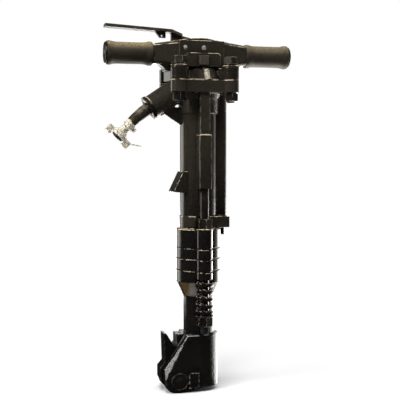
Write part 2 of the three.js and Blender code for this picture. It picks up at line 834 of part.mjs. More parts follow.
// Backhead: a neck with four bolt bosses, a beam across the top and an arm at each side
function makeBackhead() {
  const bottom = splitLevel + gap;
  const side = new THREE.Shape();
  side.moveTo(-shoulderX, underarmEnd);
  side.quadraticCurveTo(-underarmX, underarmEnd, -underarmX, underarmZ);
  side.lineTo(-underarmX, bottom);
  side.lineTo(underarmX, bottom);
  side.lineTo(underarmX, underarmZ);
  side.quadraticCurveTo(underarmX, underarmEnd, shoulderX, underarmEnd);
  side.lineTo(shoulderX, beamTopEnd);
  side.lineTo(beamCentreFlat, beamTopCentre);
  side.lineTo(-beamCentreFlat, beamTopCentre);
  side.lineTo(-shoulderX, beamTopEnd);
  const arch = plate(side, -archHalfWidth, archHalfWidth, cornerSteps);
  const beam = block(-armRootX, armRootX, -beamHalfWidth, beamHalfWidth, beamBottom, beamShoulder);
  const topShape = outline([
    [-armRootX, beamShoulder], [armRootX, beamShoulder], [beamCentreFlat, beamTopCentre],
    [-beamCentreFlat, beamTopCentre],
  ]);
  let body = join(
    arch,
    beam,
    plate(topShape, archHalfWidth - beamHalfWidth, beamHalfWidth - archHalfWidth),
    rod(neckFootRadius, bottom, beamBottom + overrun, 0, 0, neckSides, neckRadius),
    makeArm(-1),
    makeArm(1),
    rodAlongX(coreRadius, -gripOuter, gripOuter, handleLevel, pinSides),
    makeOilPad(),
  );
  for (const x of [-boltSpacing, boltSpacing]) {
    for (const y of [-boltSpacing, boltSpacing]) {
      const toCentre = Math.hypot(x, y);
      const rib = new THREE.BoxGeometry(toCentre, boltBossRadius, bossTop - bottom - bossRibDrop);
      rib.translate(toCentre / 2, 0, (bossTop + bottom - bossRibDrop) / 2);
      rib.rotateZ(Math.atan2(y, x));
      body = join(body, rod(boltBossRadius, bottom, bossTop, x, y, bossSides), solid(rib));
    }
  }
  return piece('backhead', cut(body, ...backheadCuts()), blackPaint);
}

// An arm of the backhead: flat faces with cut corners that taper towards the grip
function makeArm(side) {
  const corner = armCorner;
  const shape = outline([
    [-armRootHeight, corner - armRootDepth], [corner - armRootHeight, -armRootDepth],
    [armRootHeight - corner, -armRootDepth], [armRootHeight, corner - armRootDepth],
    [armRootHeight, armRootDepth - corner], [armRootHeight - corner, armRootDepth],
    [corner - armRootHeight, armRootDepth], [-armRootHeight, armRootDepth - corner],
  ]);
  const root = armRootX - overrun;
  const length = shoulderX - root;
  const geometry = new THREE.ExtrudeGeometry(shape, { depth: length, bevelEnabled: false });
  const position = geometry.getAttribute('position');
  for (let index = 0; index < position.count; index += 1) {
    const scale = 1 - (armTaperShare * position.getZ(index)) / length;
    position.setX(index, position.getX(index) * scale);
    position.setY(index, position.getY(index) * scale);
  }
  return solid(geometry.rotateY((side * Math.PI) / 2).translate(side * root, 0, handleLevel));
}

// Raised pad on the front, where the oil plug goes in
function makeOilPad() {
  const shape = outline([
    [-padHalfWidth, padLow], [padHalfWidth, padLow], [padHalfWidth, padHigh - padBevel],
    [padHalfWidth - padBevel, padHigh], [padBevel - padHalfWidth, padHigh], [-padHalfWidth,
      padHigh - padBevel],
  ]);
  return plate(shape, -padProud, 0);
}

function backheadCuts() {
  const slotRight = pivotX + leverEyeRadius + overrun;
  const slotLeft = stopPinX - leverWebLeft;
  const bottom = splitLevel + gap;
  const cuts = [
    block(slotLeft, slotRight, -leverSlotHalfWidth, leverSlotHalfWidth, leverSlotFloor,
      beamTopCentre + overrun),
    rodAlongY(leverPinRadius + gap, -beamHalfWidth - overrun, beamHalfWidth + overrun, pivotX, pivotZ,
      pinSides),
    rodAlongY(leverPinRadius + gap, -beamHalfWidth - overrun, beamHalfWidth + overrun, stopPinX, pivotZ,
      pinSides),
    rod(pushPinRadius + gap, pushPinBottom - overrun, leverSlotFloor + overrun, pushPinX, 0, smallSides),
    rod(throttleBoreRadius, bottom - overrun, throttleBoreTop, pushPinX, 0),
    rodAlongY(oilPlugStemRadius + gap, -padProud - overrun, gap * 2 + oilPlugStemLength - padProud,
      oilPlugX, oilPlugZ),
  ];
  for (const x of [-boltSpacing, boltSpacing]) {
    for (const y of [-boltSpacing, boltSpacing]) {
      cuts.push(rod(boltRadius + gap, bottom - overrun, bossTop + overrun, x, y, smallSides));
      const headRoom = bossTop + lockWasherThickness + boltHeadHeight + overrun;
      cuts.push(rod(lockWasherRadius + boltHeadRoom, bossTop, headRoom, x, y, bossSides));
    }
  }
  return cuts;
}

// Rubber grips, slightly waisted, with a steel cap at the end of each
function makeGrip(name, side) {
  const length = gripOuter - shoulderX - gap;
  const middle = length / 2;
  const rim = gripFlareLength;
  const profile = [
    [0, 0], [gripFlareRadius - gripRimRound, 0], [gripFlareRadius, gripRimRound],
    [gripFlareRadius, rim - gripRimRound], [(gripFlareRadius + gripWaistRadius) / 2, rim + gripRimRound],
    [gripWaistRadius, rim * 2], [gripWaistRadius, middle], [gripWaistRadius, length - rim * 2],
    [(gripFlareRadius + gripWaistRadius) / 2, length - rim - gripRimRound],
    [gripFlareRadius, length - rim + gripRimRound], [gripFlareRadius, length - gripRimRound],
    [gripFlareRadius - gripRimRound, length], [0, length],
  ];
  const points = profile.map(([radius, level]) => new THREE.Vector2(radius, level));
  const body = new THREE.LatheGeometry(points, boreSides);
  body.rotateZ(-side * Math.PI / 2).translate(side * (shoulderX + gap), 0, handleLevel);
  const bore = rodAlongX(gripBoreRadius, -gripOuter - overrun, gripOuter + overrun, handleLevel, pinSides);
  return piece(name, cut(solid(body), bore), rubber);
}

function makeEndCap(name, side) {
  const inner = side * (gripOuter + gap);
  const outer = side * (gripOuter + gap + endCapThickness);
  const cap = rodAlongX(endCapRadius, Math.min(inner, outer), Math.max(inner, outer), handleLevel,
    pinSides);
  return piece(name, cap, darkSteel);
}

// Throttle lever: a bent bar with a lug below it, and a web that turns in the slot of the backhead
function makeThrottleLever() {
  const thick = leverThickness;
  const bar = outline([
    [leverTipX, leverTipZ], [leverTipX, leverTipZ - thick], [leverBendX, leverBendZ - thick],
    [leverFootX, leverFootZ - thick], [leverFootX, leverFootZ], [leverBendX, leverBendZ],
  ]);
  const web = new THREE.Shape();
  web.moveTo(leverBendX, leverBendZ - thick / 2);
  web.lineTo(leverBendX, leverWebShoulder);
  web.lineTo(-leverWebLeft, leverWebBottom);
  web.lineTo(pushPinX + leverNoseRadius, leverWebBottom);
  web.lineTo(pivotX, pivotZ - leverEyeRadius);
  web.absarc(pivotX, pivotZ, leverEyeRadius, -Math.PI / 2, Math.PI / 2, false);
  web.lineTo(leverCrownX, leverCrownZ);
  web.lineTo(leverFootX, leverFootZ - thick / 2);
  const lug = outline([
    [leverLugLeft, leverBendZ - thick / 2], [(leverLugLeft + leverLugRight) / 2, leverLugBottom],
    [leverLugRight, leverLugBottom], [leverLugRight, leverBendZ - thick / 2],
  ]);
  const half = leverWebHalfWidth;
  const nose = rodAlongY(leverNoseRadius, -half, half, pushPinX,
    leverWebBottom + leverNoseRadius - leverNoseProud, smallSides);
  const eye = rodAlongY(leverPinRadius + gap, -half * 2, half * 2, pivotX, pivotZ, pinSides);
  const travel = Math.abs(stopPinX - pivotX) * leverTravelShare;
  const slotRadius = leverPinRadius + gap;
  const slotLow = rodAlongY(slotRadius, -half * 2, half * 2, stopPinX, pivotZ, pinSides);
  const slotHigh = rodAlongY(slotRadius, -half * 2, half * 2, stopPinX, pivotZ + travel, pinSides);
  const slotMiddle = block(
    stopPinX - slotRadius - gap, stopPinX + slotRadius + gap, -half * 2, half * 2, pivotZ, pivotZ + travel,
  );
  const lugX = leverLugRight - (leverLugRight - leverLugLeft) / 3;
  const lugHole = rodAlongY(leverLugHoleRadius, -half * 2, half * 2, lugX,
    leverLugBottom + leverLugHoleRadius * 2, smallSides);
  const whole = join(
    plate(bar, -leverWidth / 2, leverWidth / 2), plate(web, -half, half, eyeSteps), plate(lug, -half,
      half), nose,
  );
  return piece('throttle_lever', cut(whole, eye, slotLow, slotHigh, slotMiddle, lugHole), blackPaint);
}

function makeLeverPin(name, x) {
  return piece(name, rodAlongY(leverPinRadius, -leverPinHalfLength, leverPinHalfLength, x, pivotZ,
    pinSides), steel);
}

// Throttle valve: the lever's nose presses the push pin, which presses the valve off its seat
function makeThrottleGroup() {
  const x = pushPinX;
  const pinTop = leverWebBottom - leverNoseProud - gap;
  const bottom = splitLevel + 2 * gap;
  const valveTop = throttleBoreTop - gap;
  const valveBottom = valveTop - throttleValveThickness;
  const capTop = bottom + throttleCapThickness;
  const pin = rod(pushPinRadius, pushPinBottom, pinTop, x, 0, smallSides);
  const valve = join(
    rod(throttleValveRadius, valveBottom, valveTop, x, 0, bossSides),
    rod(throttleStemRadius, valveBottom - throttleStemLength, valveTop, x, 0, pinSides),
  );
  const spring = coilSpring(
    'throttle_valve_spring', throttleSpringRadius, throttleSpringWire, capTop + gap, valveBottom - gap,
    throttleSpringTurns,
  );
  spring.position.x = x;
  return [
    piece('throttle_push_pin', pin, steel),
    piece('throttle_valve', valve, brass),
    spring,
    piece('throttle_valve_cap', rod(throttleBoreRadius - gap, bottom, capTop, x, 0), steel),
  ];
}

function makeOilPlug() {
  const face = -padProud - gap;
  const half = oilPlugSquare / 2;
  const head = block(
    oilPlugX - half, oilPlugX + half, face - oilPlugHeadDepth, face, oilPlugZ - half, oilPlugZ + half,
  );
  const stem = rodAlongY(oilPlugStemRadius, face - gap, face + oilPlugStemLength, oilPlugX, oilPlugZ);
  return piece('oil_plug', join(head, stem), darkSteel);
}

function makePassagePlug() {
  const shank = rod(
    passagePlugRadius, frontheadTop - passagePlugDrop, frontheadTop + passagePlugDepth - gap,
      passagePlugX, 0, 16,
  );
  return piece('passage_plug', shank, darkSteel);
}

// Air inlet, built in the inlet frame: +Z runs out along the stub
function bendCurve(before, after) {
  const bend = THREE.MathUtils.degToRad(pipeBend);
  const reach = pipeBendRadius * Math.tan(bend / 2);
  const corner = new THREE.Vector3(0, 0, reach);
  const outward = new THREE.Vector3(-Math.sin(bend), 0, Math.cos(bend));
  const end = corner.clone().addScaledVector(outward, reach + after);
  return new THREE.QuadraticBezierCurve3(new THREE.Vector3(0, 0, -before), corner, end);
}

function makeInletGroup() {
  const group = new THREE.Group();
  const nutBottom = gap;
  const nutTop = nutBottom + swivelNutThickness;
  const flare = (share) => pipeStartRadius + (pipeEndRadius - pipeStartRadius) * share;
  const curve = bendCurve(pipeCollarThickness / 2, 0);
  const boreCurve = bendCurve(pipeCollarThickness + overrun, overrun);
  const bore = tubeAlong(boreCurve, () => pipeBoreRadius, pipeSteps, smallSides);
  const collar = rod(pipeCollarRadius, -pipeCollarThickness, 0);
  const pipe = cut(join(tubeAlong(curve, flare, pipeSteps, pipeSides), collar), bore);
  const sealTop = -pipeCollarThickness - gap;
  const strainerTop = sealTop - sealThickness - gap;
  const strainer = turned([
    [0, strainerTop - strainerLength], [pipeBoreRadius, strainerTop - strainerLength],
    [pipeBoreRadius + 2 * strainerWall, strainerTop - strainerWall], [strainerRimRadius,
      strainerTop - strainerWall],
    [strainerRimRadius, strainerTop], [0, strainerTop],
  ], strainerSides);
  const strainerHollow = turned([
    [0, strainerTop - strainerLength + strainerWall], [pipeBoreRadius - strainerWall,
      strainerTop - strainerLength + strainerWall],
    [pipeBoreRadius + strainerWall, strainerTop + overrun], [0, strainerTop + overrun],
  ], strainerSides);
  group.add(
    piece('swivel_nut', ring(swivelNutRadius, pipeStartRadius + gap, nutBottom, nutTop, neckSides),
      blackPaint),
    piece('inlet_pipe', pipe, blackPaint),
    piece('inlet_seal', ring(pipeCollarRadius, pipeBoreRadius, sealTop - sealThickness, sealTop),
      sealRubber),
    piece('air_strainer', cut(strainer, strainerHollow), brass),
  );
  group.rotation.y = -Math.PI / 2 - THREE.MathUtils.degToRad(inletSlope);
  group.position.set(inletEndX, 0, inletEndZ);
  const coupling = makeCouplingGroup();
  coupling.position.copy(curve.getPoint(1));
  coupling.rotation.y = -THREE.MathUtils.degToRad(pipeBend);
  group.add(coupling);
  return group;
}

// Claw coupling in its own frame: +Z runs towards the hose, and the claws lie along X
function makeCouplingGroup() {
  const group = new THREE.Group();
  const collarTop = gap + collarLength;
  const neckTop = collarTop + couplingNeckLength;
  const faceLevel = neckTop + couplingHeadLength;
  const bore = rod(couplingBoreRadius, 0, faceLevel + overrun, 0, 0, pinSides);
  const sealBottom = faceLevel - couplingSealThickness + couplingSealProud;
  const sealSeat = rod(couplingSealRadius + gap, sealBottom - gap, faceLevel + overrun);
  let body = join(
    hexagon(collarAcrossFlats, gap, collarTop),
    rod(couplingNeckRadius, collarTop, neckTop),
    rod(couplingNeckRadius, neckTop, neckTop + couplingHeadLength / 2, 0, 0, boreSides, couplingHeadRadius),
    rod(couplingHeadRadius, neckTop + couplingHeadLength / 2, faceLevel),
  );
  for (const side of [-1, 1]) {
    const inner = clawReach - clawThickness;
    const across = (from, to, low, high) => block(
      Math.min(side * from, side * to), Math.max(side * from, side * to), -clawHalfWidth, clawHalfWidth,
        low, high,
    );
    const root = across(couplingNeckRadius, clawReach, faceLevel - couplingHeadLength / 2, faceLevel);
    const finger = across(inner, clawReach, faceLevel - couplingHeadLength / 2, faceLevel + clawOverhang);
    const hook = across(inner - clawHook, clawReach, faceLevel + clawOverhang - clawHook,
      faceLevel + clawOverhang);
    body = join(body, root, finger, hook);
  }
  const screwFrom = -clampScrewReach;
  const screwLevel = gap + collarLength / 2;
  const screwShape = (radius) => {
    const length = clampScrewReach - couplingNeckRadius;
    const geometry = new THREE.CylinderGeometry(radius, radius, length, smallSides).rotateZ(Math.PI / 2);
    return solid(geometry.translate(screwFrom + length / 2, 0, screwLevel));
  };
  const clipHole = new THREE.Vector3(-clawReach + clawThickness / 2, 0, faceLevel - couplingHeadLength / 4);
  const holeShape = rodAlongY(clipWire / 2 + gap, -clawHalfWidth * 2, clawHalfWidth * 2, clipHole.x,
    clipHole.z, tinySides);
  group.add(
    piece('coupling_body', cut(body, bore, sealSeat, screwShape(clampScrewRadius + gap), holeShape), zinc),
    piece('coupling_seal', ring(couplingSealRadius, couplingBoreRadius, sealBottom,
      faceLevel + couplingSealProud), sealRubber),
    piece('clamp_screw', screwShape(clampScrewRadius), zinc),
    makeSafetyClip(clipHole),
  );
  return group;
}

// A wire hairpin that turns in a hole of the lower claw
function makeSafetyClip(hole) {
  const half = clawHalfWidth + clipWire;
  const points = [
    new THREE.Vector3(0, clawHalfWidth - clipWire, 0),
    new THREE.Vector3(0, half, 0),
    new THREE.Vector3(-clipWidth, half + clipWire, 0),
    new THREE.Vector3(-clipLength, clipWidth / 2, 0),
    new THREE.Vector3(-clipLength, -clipWidth / 2, 0),
    new THREE.Vector3(-clipWidth, -half - clipWire, 0),
    new THREE.Vector3(0, -half, 0),
    new THREE.Vector3(0, clipWire - clawHalfWidth, 0),
  ];
  const curve = new THREE.CatmullRomCurve3(points, false, 'centripetal');
  const clip = piece('safety_clip', tubeAlong(curve, () => clipWire / 2, clipSteps, wireSides), zinc);
  clip.position.copy(hole);
  clip.rotation.y = -THREE.MathUtils.degToRad(clipLift);
  return clip;
}

const breaker = new THREE.Group();
breaker.add(
  makeLatchHousing(), makeLatch(), makeLatchPin(), makePinKeeper(), ...makeLatchPlunger(),
  makeFronthead(), makeChuckBushing(),
  ...makeSideRodSet('front', -sideRodY), ...makeSideRodSet('back', sideRodY),
  makeCylinder(), makePassagePlug(), makeExhaustDeflector(), makePiston(), ...makeValveGroup(),
  makeBackhead(), ...makeBoltSets(), makeOilPlug(),
  makeGrip('grip_left', -1), makeGrip('grip_right', 1), makeEndCap('end_cap_left', -1),
    makeEndCap('end_cap_right', 1),
  makeThrottleLever(), makeLeverPin('lever_pivot_pin', pivotX), makeLeverPin('lever_stop_pin', stopPinX),
  ...makeThrottleGroup(),
  piece('inlet_lock_screw', lockScrewSolid(0, 0), zinc),
  makeInletGroup(),
);

export default breaker;
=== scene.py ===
import json
import math

import bpy
import numpy as np
from mathutils import Matrix, Vector


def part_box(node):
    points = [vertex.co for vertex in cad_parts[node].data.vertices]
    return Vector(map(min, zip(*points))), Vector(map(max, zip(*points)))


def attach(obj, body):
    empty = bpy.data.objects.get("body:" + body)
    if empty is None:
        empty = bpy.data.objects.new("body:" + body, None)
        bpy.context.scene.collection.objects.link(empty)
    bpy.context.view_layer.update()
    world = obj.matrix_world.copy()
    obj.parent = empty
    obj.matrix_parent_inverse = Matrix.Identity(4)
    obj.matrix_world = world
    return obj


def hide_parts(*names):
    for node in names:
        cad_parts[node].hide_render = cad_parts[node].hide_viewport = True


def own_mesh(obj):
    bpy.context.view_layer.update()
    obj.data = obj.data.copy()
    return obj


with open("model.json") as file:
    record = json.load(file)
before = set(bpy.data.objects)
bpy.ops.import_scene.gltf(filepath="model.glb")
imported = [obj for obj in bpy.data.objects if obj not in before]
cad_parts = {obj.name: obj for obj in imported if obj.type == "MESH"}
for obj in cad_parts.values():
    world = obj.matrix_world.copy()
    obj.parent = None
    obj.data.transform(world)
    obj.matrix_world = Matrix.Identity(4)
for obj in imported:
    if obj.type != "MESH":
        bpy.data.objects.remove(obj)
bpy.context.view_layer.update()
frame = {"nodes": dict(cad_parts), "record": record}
NODES = frame["nodes"]
MM = 0.001
UP = (0, 0, 1)

# The camera stands where the photograph was taken, for an image of 400 by 400
IMAGE_PIXELS = 400
SENSOR_MM = 36.0
FOCAL_PIXELS = 884.6
CAMERA_TURN = math.radians(14.46)
CAMERA_TILT = math.radians(2.57)
CAMERA_DISTANCE = 1.7101
TARGET_LEVEL = 0.36524
TARGET_SIDE = 0.0031


def make_camera():
    data = bpy.data.cameras.new("camera")
    data.sensor_width = SENSOR_MM
    data.lens = FOCAL_PIXELS / IMAGE_PIXELS * SENSOR_MM
    camera = bpy.data.objects.new("camera", data)
    bpy.context.scene.collection.objects.link(camera)
    level_share = math.cos(CAMERA_TILT)
    forward = Vector((math.sin(CAMERA_TURN) * level_share, math.cos(CAMERA_TURN) * level_share,
                      -math.sin(CAMERA_TILT)))
    right = Vector((math.cos(CAMERA_TURN), -math.sin(CAMERA_TURN), 0.0))
    up = right.cross(forward)
    spot = Vector((0.0, 0.0, TARGET_LEVEL)) + right * TARGET_SIDE - forward * CAMERA_DISTANCE
    rows = [(right[i], up[i], -forward[i], spot[i]) for i in range(3)]
    camera.matrix_world = Matrix(rows + [(0.0, 0.0, 0.0, 1.0)])
    bpy.context.scene.camera = camera


make_camera()
bpy.context.scene.view_settings.view_transform = "Standard"


# Node materials
class Nodes:
    """Short calls that add shader nodes to one tree and link them."""

    def __init__(self, tree):
        self.tree = tree
        self.tree.nodes.clear()

    def add(self, kind, inputs=None, **settings):
        node = self.tree.nodes.new(kind)
        for key, value in settings.items():
            setattr(node, key, value)
        for key, value in (inputs or {}).items():
            socket = node.inputs[key]
            if isinstance(value, bpy.types.NodeSocket):
                self.tree.links.new(value, socket)
            else:
                socket.default_value = value
        return node

    def noise(self, where, scale, detail=3.0, roughness=0.5):
        inputs = {"Vector": where, "Scale": scale, "Detail": detail, "Roughness": roughness}
        return self.add("ShaderNodeTexNoise", inputs).outputs["Fac"]

    def span(self, value, low, high, out_low=0.0, out_high=1.0):
        """A smooth step from out_low to out_high while the value goes from low to high."""
        inputs = {"Value": value, "From Min": low, "From Max": high, "To Min": out_low, "To Max": out_high}
        node = self.add("ShaderNodeMapRange", inputs, interpolation_type="SMOOTHSTEP")
        return node.outputs["Result"]

    def between(self, value, rise, fall):
        """1 between two soft limits, each given as a pair of values, and 0 outside them."""
        return self.times(self.span(value, *rise), self.span(value, *fall, 1.0, 0.0))

    def math(self, operation, first, second):
        node = self.add("ShaderNodeMath", {0: first, 1: second}, operation=operation)
        return node.outputs["Value"]

    def times(self, first, *others):
        for other in others:
            first = self.math("MULTIPLY", first, other)
        return first

    def plus(self, first, second):
        return self.math("ADD", first, second)

    def minus(self, first, second):
        return self.math("SUBTRACT", first, second)

    def larger(self, first, second):
        return self.math("MAXIMUM", first, second)

    def mix(self, share, first, second):
        node = self.add("ShaderNodeMix", {"Factor": share, "A": first, "B": second})
        return node.outputs["Result"]

    def blend(self, share, first, second):
        """A mix of two colours."""
        node = self.add("ShaderNodeMix", data_type="RGBA")
        for index, value in ((0, share), (6, first), (7, second)):
            if isinstance(value, bpy.types.NodeSocket):
                self.tree.links.new(value, node.inputs[index])
            else:
                node.inputs[index].default_value = value
        return node.outputs[2]

    def place(self):
        return self.add("ShaderNodeTexCoord").outputs["Object"]

    def parts(self, vector):
        return self.add("ShaderNodeSeparateXYZ", {"Vector": vector}).outputs

    def dot(self, first, second):
        node = self.add("ShaderNodeVectorMath", {0: first, 1: second}, operation="DOT_PRODUCT")
        return node.outputs["Value"]

    def bump(self, height, distance, normal=None):
        inputs = {"Height": height, "Distance": distance, "Strength": 1.0}
        if normal is not None:
            inputs["Normal"] = normal
        return self.add("ShaderNodeBump", inputs).outputs["Normal"]

    def soft_edge(self, radius):
        return self.add("ShaderNodeBevel", {"Radius": radius}, samples=6).outputs["Normal"]

    def raised_edges(self, low, high):
        """The raised edges of a rounded casting."""
        edge_amount = self.add("ShaderNodeNewGeometry").outputs["Pointiness"]
        return self.span(edge_amount, low, high)

    def sharp_edge(self, radius):
        """Where a softened normal leaves the true one: the corners of a crisp machined piece."""
        plain = self.add("ShaderNodeNewGeometry").outputs["Normal"]
        return self.span(self.minus(1.0, self.dot(self.soft_edge(radius), plain)), 0.004, 0.05)

    def facing_up(self, low=-0.1, high=0.5):
        normal = self.add("ShaderNodeTexCoord").outputs["Normal"]
        return self.span(self.parts(normal)["Z"], low, high)

    def open_air(self, distance):
        """1 on open faces and 0 deep in a corner."""
        air = self.add("ShaderNodeAmbientOcclusion", {"Distance": distance}, samples=6).outputs["AO"]
        return self.span(air, 0.25, 0.95)

    def surface(self, **inputs):
        shader = self.add("ShaderNodeBsdfPrincipled", inputs)
        out = self.add("ShaderNodeOutputMaterial")
        self.tree.links.new(shader.outputs[0], out.inputs["Surface"])


def grey(level, warmth=0.0):
    return (level * (1 + warmth), level, level * (1 - warmth), 1.0)


def new_material(name):
    material = bpy.data.materials.new(name)
    material.use_nodes = True
    return material, Nodes(material.node_tree)


WARM_GLOSS = (1.0, 0.88, 0.68, 1.0)
PLAIN_GLOSS = (1.0, 0.98, 0.95, 1.0)
DUST = (0.0255, 0.0220, 0.0168, 1.0)
PALE_GRIT = (0.075, 0.064, 0.046, 1.0)
EDGE_HIGHLIGHT_WHITE = (0.70, 0.69, 0.66, 1.0)
EDGE_HIGHLIGHT_GOLD = (0.90, 0.75, 0.52, 1.0)
BEVEL_LIT_RUST = (0.075, 0.046, 0.016, 1.0)
BEVEL_LIT_STEEL = (0.17, 0.165, 0.155, 1.0)
BEVEL_SPECKS = (0.05, 0.035, 0.02, 1.0)

# Levels up the castings, each a pair over which a look comes in or ends
HOUSING_ENDS = (0.106, 0.112)
FRONTHEAD_STARTS = (0.11, 0.16)
BEVEL_STARTS = (0.181, 0.184)
BEVEL_ENDS = (0.207, 0.211)
EDGE_HIGHLIGHT_GROWS = (0.28, 0.33)
DUST_GROWS = (0.28, 0.54)
LOW_FLANGE_STARTS = (0.309, 0.313)
LOW_FLANGE_ENDS = (0.335, 0.339)
COLLAR_STARTS = (0.515, 0.545)
COLLAR_ENDS = (0.566, 0.569)
NECK_STARTS = (0.591, 0.593)
NECK_ENDS = (0.614, 0.616)


def make_black_paint():
    """Gloss paint on castings: black at the foot and dustier upwards, with painted shade in corners and on
    the neck under the handle beam, a painted highlight as a pale or golden line along upper edges, and bare
    steel and rust on the front left of the fronthead's bevel, kept to its lit facet as a painted highlight."""
    material, n = new_material("black_paint")
    where = n.place()
    axes = n.parts(where)
    level = axes["Z"]
    patches = n.noise(where, 14.0, 4.0, 0.6)
    specks = n.noise(where, 160.0, 3.0, 0.6)
    neck = n.between(level, NECK_STARTS, NECK_ENDS)
    low_flange = n.between(level, LOW_FLANGE_STARTS, LOW_FLANGE_ENDS)
    collar = n.between(level, COLLAR_STARTS, COLLAR_ENDS)

    dusty = n.larger(n.span(level, *DUST_GROWS, 0.0, 0.95), n.times(low_flange, 0.7))
    # Dust film in patches, growing upwards; ambient occlusion takes it out of corners and creases, which is
    # painted shade.
    dust_and_shade = n.times(n.span(patches, 0.25, 0.6, 0.75, 1.0), n.plus(dusty, 0.06), n.open_air(0.012))
    # Painted shade: less film on the neck, which lies in shade under the handle beam.
    dust_and_shade = n.times(dust_and_shade, n.minus(1.0, n.times(neck, 0.55)))
    black = n.blend(n.span(specks, 0.35, 0.7), grey(0.0030), grey(0.0058, 0.1))
    colour = n.blend(dust_and_shade, black, DUST)
    grit = n.times(n.span(n.noise(where, 520.0, 2.0, 0.7), 0.56, 0.68, 0.0, 0.5), dust_and_shade)
    colour = n.blend(grit, colour, PALE_GRIT)

    # Painted highlight: pale lines below the fronthead's top and golden ones above, on raised edges that
    # face up towards the light, broken into dashes and fainter at the foot.
    breaks = n.times(n.span(n.noise(where, 90.0), 0.42, 0.56), n.span(level, *EDGE_HIGHLIGHT_GROWS, 0.6, 1.0))
    edge_amount = n.times(n.raised_edges(0.506, 0.526), n.facing_up(), breaks, 0.95)
    colour = n.blend(edge_amount, colour, n.blend(n.span(level, *FRONTHEAD_STARTS), EDGE_HIGHLIGHT_WHITE, EDGE_HIGHLIGHT_GOLD))

    # Bare steel and rust on the front left of the bevel. Its brown and grey tones are partly a painted
    # highlight on the lit facet, and its right edge is a painted shadow of the spring and boss.
    front = n.span(axes["Y"], -0.014, -0.006, 1.0, 0.0)
    left = n.span(axes["X"], -0.014, -0.008, 1.0, 0.0)
    bare = n.times(n.between(level, BEVEL_STARTS, BEVEL_ENDS), front, left)
    steel = n.blend(n.span(axes["X"], -0.030, -0.018), BEVEL_LIT_RUST, BEVEL_LIT_STEEL)
    steel = n.blend(n.span(specks, 0.4, 0.65, 0.0, 0.5), steel, BEVEL_SPECKS)
    colour = n.blend(bare, colour, steel)

    rough = n.plus(n.span(patches, 0.3, 0.75, 0.13, 0.24), n.times(dust_and_shade, 0.04))
    housing = n.larger(n.span(axes["X"], -0.01, 0.01), n.facing_up(0.2, 0.4))
    housing = n.times(housing, n.span(level, *HOUSING_ENDS, 1.0, 0.0))
    rougher = n.plus(n.plus(n.times(neck, 6.0), n.times(housing, 14.0)), n.times(collar, 16.0))
    grain = n.plus(n.noise(where, 240.0, 2.0), n.times(n.noise(where, 45.0, 2.0), 4.0))
    grain = n.plus(grain, n.times(rougher, n.noise(where, 260.0, 3.0)))
    tint = n.blend(n.span(level, *FRONTHEAD_STARTS), PLAIN_GLOSS, WARM_GLOSS)
    n.surface(**{"Base Color": colour, "Roughness": rough, "Normal": n.bump(grain, 0.00007),
                 "Specular Tint": tint})
    return material


def make_smooth_black(name, plain, dusty, low, high, pale_edge_colour=(0.55, 0.46, 0.34, 1.0), edge=0.0009,
                      top_glints=0.0):
    """Paint on small pieces. Low and high limit the roughness. Dust film is taken out of corners as painted
    shade, and the corners are painted paler over the edge width, as wear and as a painted highlight. With
    top glints, the upper faces get painted glints as specks too."""
    material, n = new_material(name)
    where = n.place()
    patches = n.noise(where, 30.0, 4.0, 0.6)
    upper = n.span(n.parts(where)["Z"], 0.27, 0.34, 0.1, 1.0)
    # Dust film in patches, taken out of corners by ambient occlusion: painted shade.
    dust_and_shade = n.times(n.span(patches, 0.35, 0.6), n.open_air(0.006), upper)
    colour = n.blend(dust_and_shade, plain, dusty)
    # Paler corners: partly wear, partly a painted highlight on the rims.
    edge_amount = n.times(n.sharp_edge(edge), n.span(n.noise(where, 150.0), 0.42, 0.62))
    if top_glints:
        # Painted glints: gold specks on the upward faces, where lamps would catch.
        glints = n.times(n.facing_up(0.70, 0.92), n.span(n.noise(where, 300.0), 0.56, 0.62))
        edge_amount = n.larger(edge_amount, n.times(glints, top_glints))
    colour = n.blend(n.times(edge_amount, 0.8), colour, pale_edge_colour)
    rough = n.span(patches, 0.3, 0.75, low, high)
    normal = n.bump(n.noise(where, 400.0, 3.0, 0.6), 0.00003, n.soft_edge(0.0007))
    n.surface(**{"Base Color": colour, "Roughness": rough, "Normal": normal, "Specular Tint": WARM_GLOSS})
    return material


RUBBER_DARK = (0.017, 0.0145, 0.0102, 1.0)
RUBBER_LIGHT = (0.033, 0.0275, 0.0190, 1.0)
RUBBER_PORES = (0.011, 0.009, 0.006, 1.0)
RUBBER_HIGHLIGHT = (0.265, 0.205, 0.115, 1.0)


def make_grip_rubber():
    """Brown-black rubber with a dusty-gold painted highlight on its upper side, held lower on the right grip
    as painted shade.
    """
    material, n = new_material("grip_rubber")
    where = n.place()
    patches = n.noise(where, 22.0, 4.0, 0.6)
    pores = n.noise(where, 900.0, 3.0, 0.7)
    colour = n.blend(n.span(patches, 0.3, 0.7), RUBBER_DARK, RUBBER_LIGHT)
    colour = n.blend(n.span(pores, 0.5, 0.75, 0.0, 0.4), colour, RUBBER_PORES)
    # Painted shade: the right grip gets less of the top highlight.
    right_grip_dimming = n.span(n.parts(where)["X"], -0.05, 0.05, 1.0, 0.62)
    mottled = n.span(n.noise(where, 330.0, 2.0), 0.38, 0.62, 0.45, 1.25)
    # Painted highlight on upward faces, mottled.
    top_highlight = n.times(n.facing_up(0.22, 0.90), n.span(patches, 0.25, 0.55, 0.6, 1.0), right_grip_dimming, mottled)
    colour = n.blend(top_highlight, colour, RUBBER_HIGHLIGHT)
    rough = n.span(patches, 0.3, 0.7, 0.44, 0.56)
    n.surface(**{"Base Color": colour, "Roughness": rough, "Normal": n.bump(pores, 0.00008),
                 "Specular Tint": WARM_GLOSS})
    return material


ZINC_DULL = (0.64, 0.61, 0.52, 1.0)
ZINC_BRIGHT = (0.90, 0.87, 0.78, 1.0)
ZINC_GOLDEN = (0.82, 0.68, 0.42, 1.0)
ZINC_GRIME = (0.16, 0.145, 0.10, 1.0)


